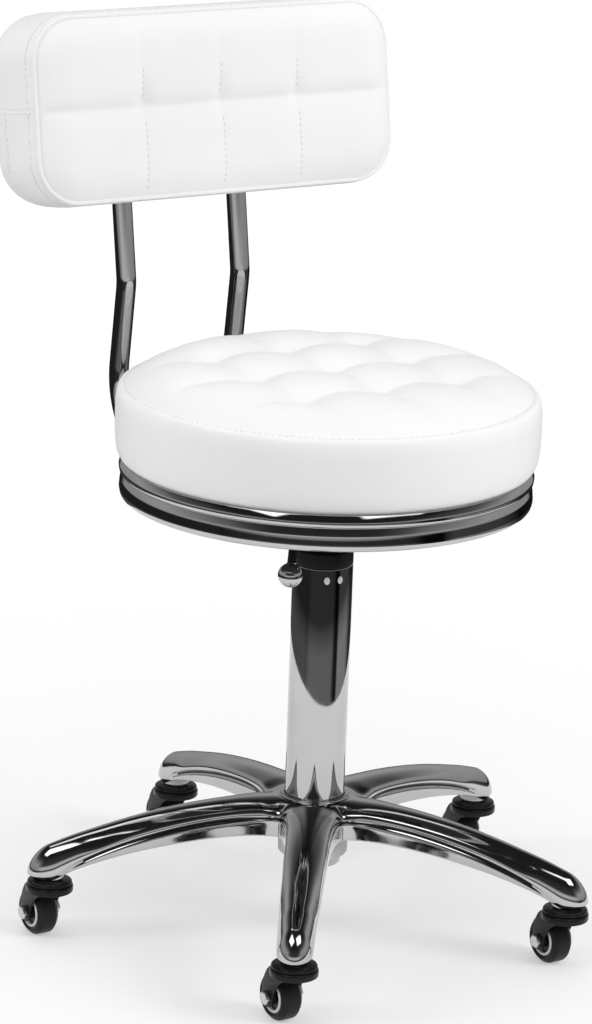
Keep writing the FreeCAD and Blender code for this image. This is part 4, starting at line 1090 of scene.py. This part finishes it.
padFrame = Matrix(((1, 0, 0, 0), (0, math.sin(leanAngle), -math.cos(leanAngle), backPad["centre"][1] * mm),
                   (0, math.cos(leanAngle), math.sin(leanAngle), backPad["centre"][2] * mm), (0, 0, 0, 1)))


def padSeam(x):  # distance to the nearest of the three upright seams
    return toSeam(x, backPad["pitch"]) if abs(x) < backPad["seamEnd"] else backPad["pitch"]


def padPull(y):  # how strongly the middle seam draws the panel in, above and below it
    if y > 0:
        rise, reach = backPad["pullAbove"]
        return math.exp(-((y - rise) / reach) ** 2)
    share, reach = backPad["pullBelow"]
    return share * math.exp(-(y / reach) ** 2)


def padFront(x, y):
    inside = -rimDistance(x, y, backPad)
    swell = pillow(max(0, inside), backPad["rise"], backPad["riseCurve"])
    base = between(backPad["rimHeight"], backPad["crown"], swell)
    fade = min(1, max(0, inside / backPad["fadeReach"]))
    mid = dip(abs(y), *backPad["midAbove" if y > 0 else "midBelow"])
    crease = dip(abs(y), *backPad["crease"])
    seam = dip(padSeam(x), *backPad["seam"])
    pull = padPull(y) * dip(padSeam(x), *backPad["pull"])
    return base - fade * (mid + seam + pull) - min(1, fade * 2) * crease


def padUnder(x, y):
    swell = pillow(-rimDistance(x, y, backPad), backPad["backReach"], 2)
    return backPad["rows"][-1][1] - backPad["backSwell"] * swell


def buildBackPad():
    pad = cushionBlank("backPad", backPad, padFront, padUnder)

    def sewn(corner):  # the seams, the rim, the boxing and the back stay where they are
        x, y, z = corner.x / mm, corner.y / mm, corner.z / mm
        inside = -rimDistance(x, y, backPad)
        onSeam = z > 0 and inside > 0 and min(abs(y), padSeam(x)) < backPad["seamGap"]
        return onSeam or inside < backPad["rimHold"] or z < -1

    puff(pad, sewn, backPad["pressure"], backPad["cap"])
    finishCushion(pad)
    pad.matrix_world = padFrame
    settle(pad)
    return pad


back = buildBackPad()
place(back, "seat", leatherette, "white_leatherette", "back_cover", "back_foam")
print("stage: backrest pad")


# piping and stitching

def outlinePoints(shape, grow, count):  # evenly spaced round a rounded rectangle, with the outward direction
    coreX, coreY = coreOf(shape)
    reach = shape["corner"] + grow
    quarter = reach * math.pi / 2
    sides = [2 * coreY, 2 * coreX, 2 * coreY, 2 * coreX]
    total = sum(sides) + 4 * quarter
    centres = [(coreX, coreY), (-coreX, coreY), (-coreX, -coreY), (coreX, -coreY)]
    points = []
    for k in range(count):
        walk = total * k / count
        for i in range(4):
            face = math.pi / 2 * i
            out = Vector((math.cos(face), math.sin(face)))
            before = Vector(centres[i - 1])
            if walk <= sides[i]:
                points.append((before + Vector((-out.y, out.x)) * walk + out * reach, out))
                break
            walk -= sides[i]
            if walk <= quarter:
                turn = face + walk / reach
                out = Vector((math.cos(turn), math.sin(turn)))
                points.append((Vector(centres[i]) + out * reach, out))
                break
            walk -= quarter
    return points


def buildPiping(name, shape, count, rounds=10):  # a round cord along the outline
    grow, height, radius = shape["pipingOut"], shape["pipingHeight"], shape["piping"]
    rim = outlinePoints(shape, grow, count)
    clearSelection()
    bpy.ops.mesh.primitive_circle_add(vertices=count, radius=1)
    piping = named(name)
    for corner, (spot, out) in zip(piping.data.vertices, rim):
        corner.co = Vector((*(spot + out * radius), height))
    openEdit(piping, "EDGE")
    for k in range(1, rounds):
        turn = 2 * math.pi * k / rounds
        reach, level = grow + radius * math.cos(turn), height + radius * math.sin(turn)
        drawOut(piping, lambda spot: Vector((*rimPoint(spot.x, spot.y, shape, reach), level)))
    selectBy(piping, "EDGE", lambda edge: edge.is_boundary)
    bpy.ops.mesh.bridge_edge_loops()
    closeEdit()
    piping.scale = (mm, mm, mm)
    settle(piping)
    tidyMesh(piping, 0.00001)
    smoothAll(piping)
    return piping


stitch = {"length": 3.4, "width": 0.8, "sink": 0.12, "seamLength": 7, "seamWidth": 1.3,
          "above": 0.6, "front": 60, "beside": 1.0, "uprights": [(-67, 11), (9, 5)],
          "boxing": -8.5, "boxingOut": 40, "boxingShare": 1.9, "endOut": 240,
          "endStitches": ((3.4, -12), 11, (-6, -44), 9, 5.2), "endSeams": ((0, -8), 26, (-3, -47), 22, 2.4)}


def sewRows(name, cover, rows, length, width):  # rows of (start point, looking direction, sewing direction)
    clearSelection()
    bpy.ops.mesh.primitive_uv_sphere_add(segments=8, ring_count=6, radius=0.5)
    pattern = named(name)
    pattern.scale = (length * mm, width * mm, width * mm)
    settle(pattern)
    thread = bmesh.new()
    for spot, look, along in rows:
        hit, where, normal = cover.ray_cast(spot, look)[:3]
        if not hit:
            continue
        side = normal.cross(along).normalized()
        ahead = side.cross(normal).normalized()
        seatPoint = where + normal * (stitch["sink"] * mm)
        turn = Matrix((ahead, side, normal)).transposed().to_4x4()
        before = len(thread.verts)
        thread.from_mesh(pattern.data)
        thread.verts.ensure_lookup_table()
        bmesh.ops.transform(thread, matrix=Matrix.Translation(seatPoint) @ turn, verts=thread.verts[before:])
    thread.to_mesh(pattern.data)
    thread.free()
    smoothAll(pattern)
    return pattern


def seatRows():
    rows = []
    count = round(2 * math.pi * seatCushion["stitchRadius"] / seatCushion["stitchPitch"])
    for k in range(count):
        turn = 2 * math.pi * k / count
        out = Vector((math.cos(turn), math.sin(turn), 0))
        spot = out * seatCushion["stitchRadius"] * mm + Vector((0, 0, stitch["above"]))
        rows.append((spot, Vector((0, 0, -1)), Vector((-out.y, out.x, 0))))
    return rows


def padRow(spot, facing, along):  # given in the pad's own frame
    look = padFrame.to_3x3()
    return padFrame @ (Vector(spot) * mm), look @ Vector(facing), look @ Vector(along)


def endRows(deep, deepCount, down, downCount, step):  # on both ends: a line to the back and one down
    rows = []
    for side in (-1, 1):
        reach, facing = side * stitch["endOut"], (-side, 0, 0)
        for k in range(deepCount):
            rows.append(padRow((reach, deep[0], deep[1] - k * step), facing, (0, 0, 1)))
        for k in range(downCount):
            rows.append(padRow((reach, down[0] - k * step, down[1]), facing, (0, 1, 0)))
    return rows


def padRows():
    rows = []
    step = backPad["stitchPitch"]
    for column in (-1, 0, 1):  # up the three upright seams, below and above the middle seam
        across = column * backPad["pitch"] + stitch["beside"]
        for low, count in stitch["uprights"]:
            for k in range(count):
                rows.append(padRow((across, low + k * step, stitch["front"]), (0, 0, -1), (0, 1, 0)))
    count = round(2 * (backPad["halfWidth"] + backPad["halfHeight"]) * stitch["boxingShare"] / step)
    for spot, out in outlinePoints(backPad, stitch["boxingOut"], count):  # just behind the piping
        rows.append(padRow((spot.x, spot.y, stitch["boxing"]), (-out.x, -out.y, 0), (-out.y, out.x, 0)))
    return rows + endRows(*stitch["endStitches"])


threadSize = stitch["length"], stitch["width"]
seamSize = stitch["seamLength"], stitch["seamWidth"]
place(sewRows("seatStitches", seat, seatRows(), *threadSize), "seat", paleThread, "white_leatherette")
place(sewRows("padStitches", back, padRows(), *threadSize), "seat", paleThread, "white_leatherette")
endSeams = sewRows("padEndSeams", back, endRows(*stitch["endSeams"]), *seamSize)  # joins of the boxing
place(endSeams, "seat", leatherette, "white_leatherette")
padPiping = buildPiping("padPiping", backPad, 360)
padPiping.matrix_world = padFrame
settle(padPiping)
place(padPiping, "seat", leatherette, "white_leatherette")
print("stage: piping and stitches")


# stage: floor, soft boxes, backdrop, the room that the metal shows, and the camera; sizes in metres

studio = {"camera": (-1.7517, -2.6712, 1.2511), "forward": (0.5222, 0.80934, -0.26887),
          "right": (0.84492, -0.53381, 0.03415), "lens": 142.106, "sensor": 36,
          "floor": 40, "floorTone": 0.62, "floorGlow": (0.36, 0.60), "glowReach": (0.5, 2.6),
          "worldLight": 0.68,
          "boxes": [("topBox", (-0.3, 0.2, 3.0), (0, 0, 0.4), 2.0, 2.0, 10),
                    ("frontBox", (1.5, -2.4, 1.9), (0, 0, 0.5), 1.2, 1.2, 40),
                    ("leftBox", (-2.6, 0.6, 1.4), (0, 0, 0.5), 0.8, 1.4, 19)]}
darkRoom = {"radius": 4.2, "height": 3.6, "sides": 96, "sheetRadius": 0.82, "sheetCentre": (-0.026, 0.086),
            "carpetLift": 0.003, "carpetFade": (1.1, 1.45), "carpetFar": 0.22,
            "carpet": [(0, 0.08), (0.06, 0.18), (0.28, 0.17), (0.31, 0.015), (0.34, 0.015), (0.36, 0.30),
                       (0.46, 0.28), (0.52, 0.03), (0.7, 0.08), (1, 0.11)],
            "wall": [(0, 0.09), (0.06, 0.36), (0.4, 0.46), (0.7, 0.12), (1, 0.02)],
            "frontWall": [(0, 0.16), (0.05, 0.66), (0.17, 0.70), (0.30, 0.06), (1, 0.02)],
            "front": (-0.55, -0.84), "frontReach": (2.4, 3.7),
            "windows": [(-2.3, -0.5, 0.8, 0.9, 2.6), (0.7, -2.3, 1.0, 0.8, 2.4), (0.4, 1.9, 1.2, 0.4, 1.4)],
            "windowEdge": 0.25}


def backdropMix(tree, out, lit, shown):  # white to the camera and in metal, plain light to the rest
    path = tree.nodes.new("ShaderNodeLightPath").outputs
    seen = addMath(tree, "MAXIMUM", path["Is Camera Ray"], path["Is Glossy Ray"])
    seen = addMath(tree, "MAXIMUM", seen, path["Is Transmission Ray"])
    mix = tree.nodes.new("ShaderNodeMixShader")
    for socket, value in zip(mix.inputs, (seen, lit, shown)):
        tree.links.new(value, socket)
    tree.links.new(mix.outputs[0], out)


def buildWorld():
    world = bpy.data.worlds.new("studioWorld")
    bpy.context.scene.world = world
    world.use_nodes = True
    tree = world.node_tree
    lit = tree.nodes["Background"]
    lit.inputs["Color"].default_value = (1, 1, 1, 1)
    lit.inputs["Strength"].default_value = studio["worldLight"]
    shown = tree.nodes.new("ShaderNodeBackground")
    shown.inputs["Color"].default_value = (1, 1, 1, 1)
    backdropMix(tree, tree.nodes["World Output"].inputs["Surface"], lit.outputs[0], shown.outputs[0])


def bareFinish(name):  # without a shader: the material, its tree, the place and the way out
    paint = bpy.data.materials.new(name)
    paint.use_nodes = True
    tree = paint.node_tree
    tree.nodes.remove(tree.nodes["Principled BSDF"])
    where = tree.nodes.new("ShaderNodeTexCoord").outputs["Object"]
    return paint, tree, where, tree.nodes["Material Output"].inputs["Surface"]


def buildFloor():
    clearSelection()
    bpy.ops.mesh.primitive_plane_add(size=studio["floor"], location=(0, 0, 0))
    floor = named("studioFloor")
    paint, tree, where, out = bareFinish("paleFloor")
    matte = tree.nodes.new("ShaderNodeBsdfDiffuse")
    matte.inputs["Color"].default_value = (*grey(studio["floorTone"]), 1)
    glow = tree.nodes.new("ShaderNodeEmission")
    away = tree.nodes.new("ShaderNodeVectorMath")
    away.operation = "LENGTH"
    tree.links.new(where, away.inputs[0])
    shine = addRange(tree, away.outputs["Value"], *studio["glowReach"], *studio["floorGlow"])
    tree.links.new(shine, glow.inputs["Strength"])
    bright = tree.nodes.new("ShaderNodeAddShader")
    tree.links.new(matte.outputs[0], bright.inputs[0])
    tree.links.new(glow.outputs[0], bright.inputs[1])
    backdropMix(tree, out, matte.outputs[0], bright.outputs[0])
    floor.data.materials.append(paint)


def reflectorCard(piece, shade):  # a card that only polished metal sees
    card, tree, where, out = bareFinish(piece.name)
    apart = tree.nodes.new("ShaderNodeSeparateXYZ")
    tree.links.new(where, apart.inputs[0])
    glow = tree.nodes.new("ShaderNodeEmission")
    tree.links.new(shade(tree, apart.outputs), glow.inputs["Color"])
    tree.links.new(glow.outputs[0], out)
    piece.data.materials.append(card)
    piece.visible_camera = False
    piece.visible_diffuse = False
    piece.visible_shadow = False
    piece.visible_transmission = False


def addGreys(tree, value, stops):
    return addColours(tree, value, [(spot, grey(tone)) for spot, tone in stops])


def carpetShade(tree, axes):  # darker and lighter strips round the stool, darker further out
    around = addMath(tree, "ARCTAN2", axes["Y"], axes["X"])
    strips = addGreys(tree, addRange(tree, around, -math.pi, math.pi, 0, 1), darkRoom["carpet"])
    squares = [addMath(tree, "MULTIPLY", axes[axis], axes[axis]) for axis in "XY"]
    reach = addMath(tree, "SQRT", addMath(tree, "ADD", *squares), 0)
    fade = addRange(tree, reach, *darkRoom["carpetFade"], 1, darkRoom["carpetFar"])
    return addMath(tree, "MULTIPLY", strips, fade)


def wallShade(tree, axes):  # grey at eye level, dark above, with soft windows overhead
    ceiling = darkRoom["height"]
    rise = addRange(tree, axes["Z"], 0, ceiling, 0, 1)
    shares = [addMath(tree, "MULTIPLY", axes[axis], way) for axis, way in zip("XY", darkRoom["front"])]
    facing = addRange(tree, addMath(tree, "ADD", *shares), *darkRoom["frontReach"], 0, 1)
    beside = addGreys(tree, rise, darkRoom["wall"])
    beside = addMath(tree, "MULTIPLY", beside, addMath(tree, "SUBTRACT", 1, facing))
    ahead = addMath(tree, "MULTIPLY", addGreys(tree, rise, darkRoom["frontWall"]), facing)
    tone = addMath(tree, "ADD", beside, ahead)
    overhead = addRange(tree, axes["Z"], ceiling - 0.02, ceiling - 0.01, 0, 1)
    for middleX, middleY, halfX, halfY, strength in darkRoom["windows"]:
        light = addMath(tree, "MULTIPLY", overhead, strength)
        for axis, middle, half in (("X", middleX, halfX), ("Y", middleY, halfY)):
            away = addMath(tree, "ABSOLUTE", addMath(tree, "SUBTRACT", axes[axis], middle), 0)
            edge = addRange(tree, away, half, half + darkRoom["windowEdge"], 1, 0)
            light = addMath(tree, "MULTIPLY", light, edge)
        tone = addMath(tree, "ADD", tone, light)
    return tone


def buildDarkRoom():  # what the metal shows beyond the white sheet that the stool stands on
    sides, radius, height = darkRoom["sides"], darkRoom["radius"], darkRoom["height"]
    clearSelection()
    middle = (0, 0, height / 2)
    bpy.ops.mesh.primitive_cylinder_add(vertices=sides, radius=radius, depth=height, location=middle)
    wall = named("roomWall")
    settle(wall)
    openEdit(wall, "FACE")
    selectBy(wall, "FACE", lambda face: face.normal.z < -0.9)
    bpy.ops.mesh.delete(type="FACE")
    closeEdit()
    reflectorCard(wall, wallShade)
    lift, shrink = darkRoom["carpetLift"], darkRoom["sheetRadius"] / radius
    clearSelection()
    bpy.ops.mesh.primitive_circle_add(vertices=sides, radius=radius, location=(0, 0, lift))
    carpet = named("roomCarpet")
    settle(carpet)
    openEdit(carpet, "EDGE")
    bpy.ops.mesh.extrude_edges_move(TRANSFORM_OT_translate={"value": (*darkRoom["sheetCentre"], 0)})
    bpy.ops.transform.resize(value=(shrink, shrink, 1), center_override=(*darkRoom["sheetCentre"], lift))
    closeEdit()
    reflectorCard(carpet, carpetShade)


def buildLamps():
    for name, spot, aim, width, height, power in studio["boxes"]:
        clearSelection()
        bpy.ops.object.light_add(type="AREA", location=spot)
        lamp = bpy.context.object
        lamp.name = name
        lamp.data.shape = "RECTANGLE"
        lamp.data.size, lamp.data.size_y = width, height
        lamp.data.energy = power
        lamp.visible_glossy = False
        lamp.rotation_euler = (Vector(aim) - Vector(spot)).to_track_quat("-Z", "Y").to_euler()


def buildCamera():
    clearSelection()
    bpy.ops.object.camera_add(location=studio["camera"])
    camera = bpy.context.object
    camera.name = "photoCamera"
    ahead, right = Vector(studio["forward"]).normalized(), Vector(studio["right"]).normalized()
    upward = right.cross(ahead).normalized()
    right = ahead.cross(upward).normalized()
    turn = Matrix((right, upward, -ahead)).transposed().to_4x4()
    camera.matrix_world = Matrix.Translation(studio["camera"]) @ turn
    camera.data.lens = studio["lens"]
    camera.data.sensor_width = studio["sensor"]
    camera.data.sensor_fit = "AUTO"
    camera.data.clip_end = 100
    bpy.context.scene.camera = camera


buildWorld()
buildFloor()
buildDarkRoom()
buildLamps()
buildCamera()
bpy.context.scene.view_settings.view_transform = "Standard"
print("stage: studio and camera")
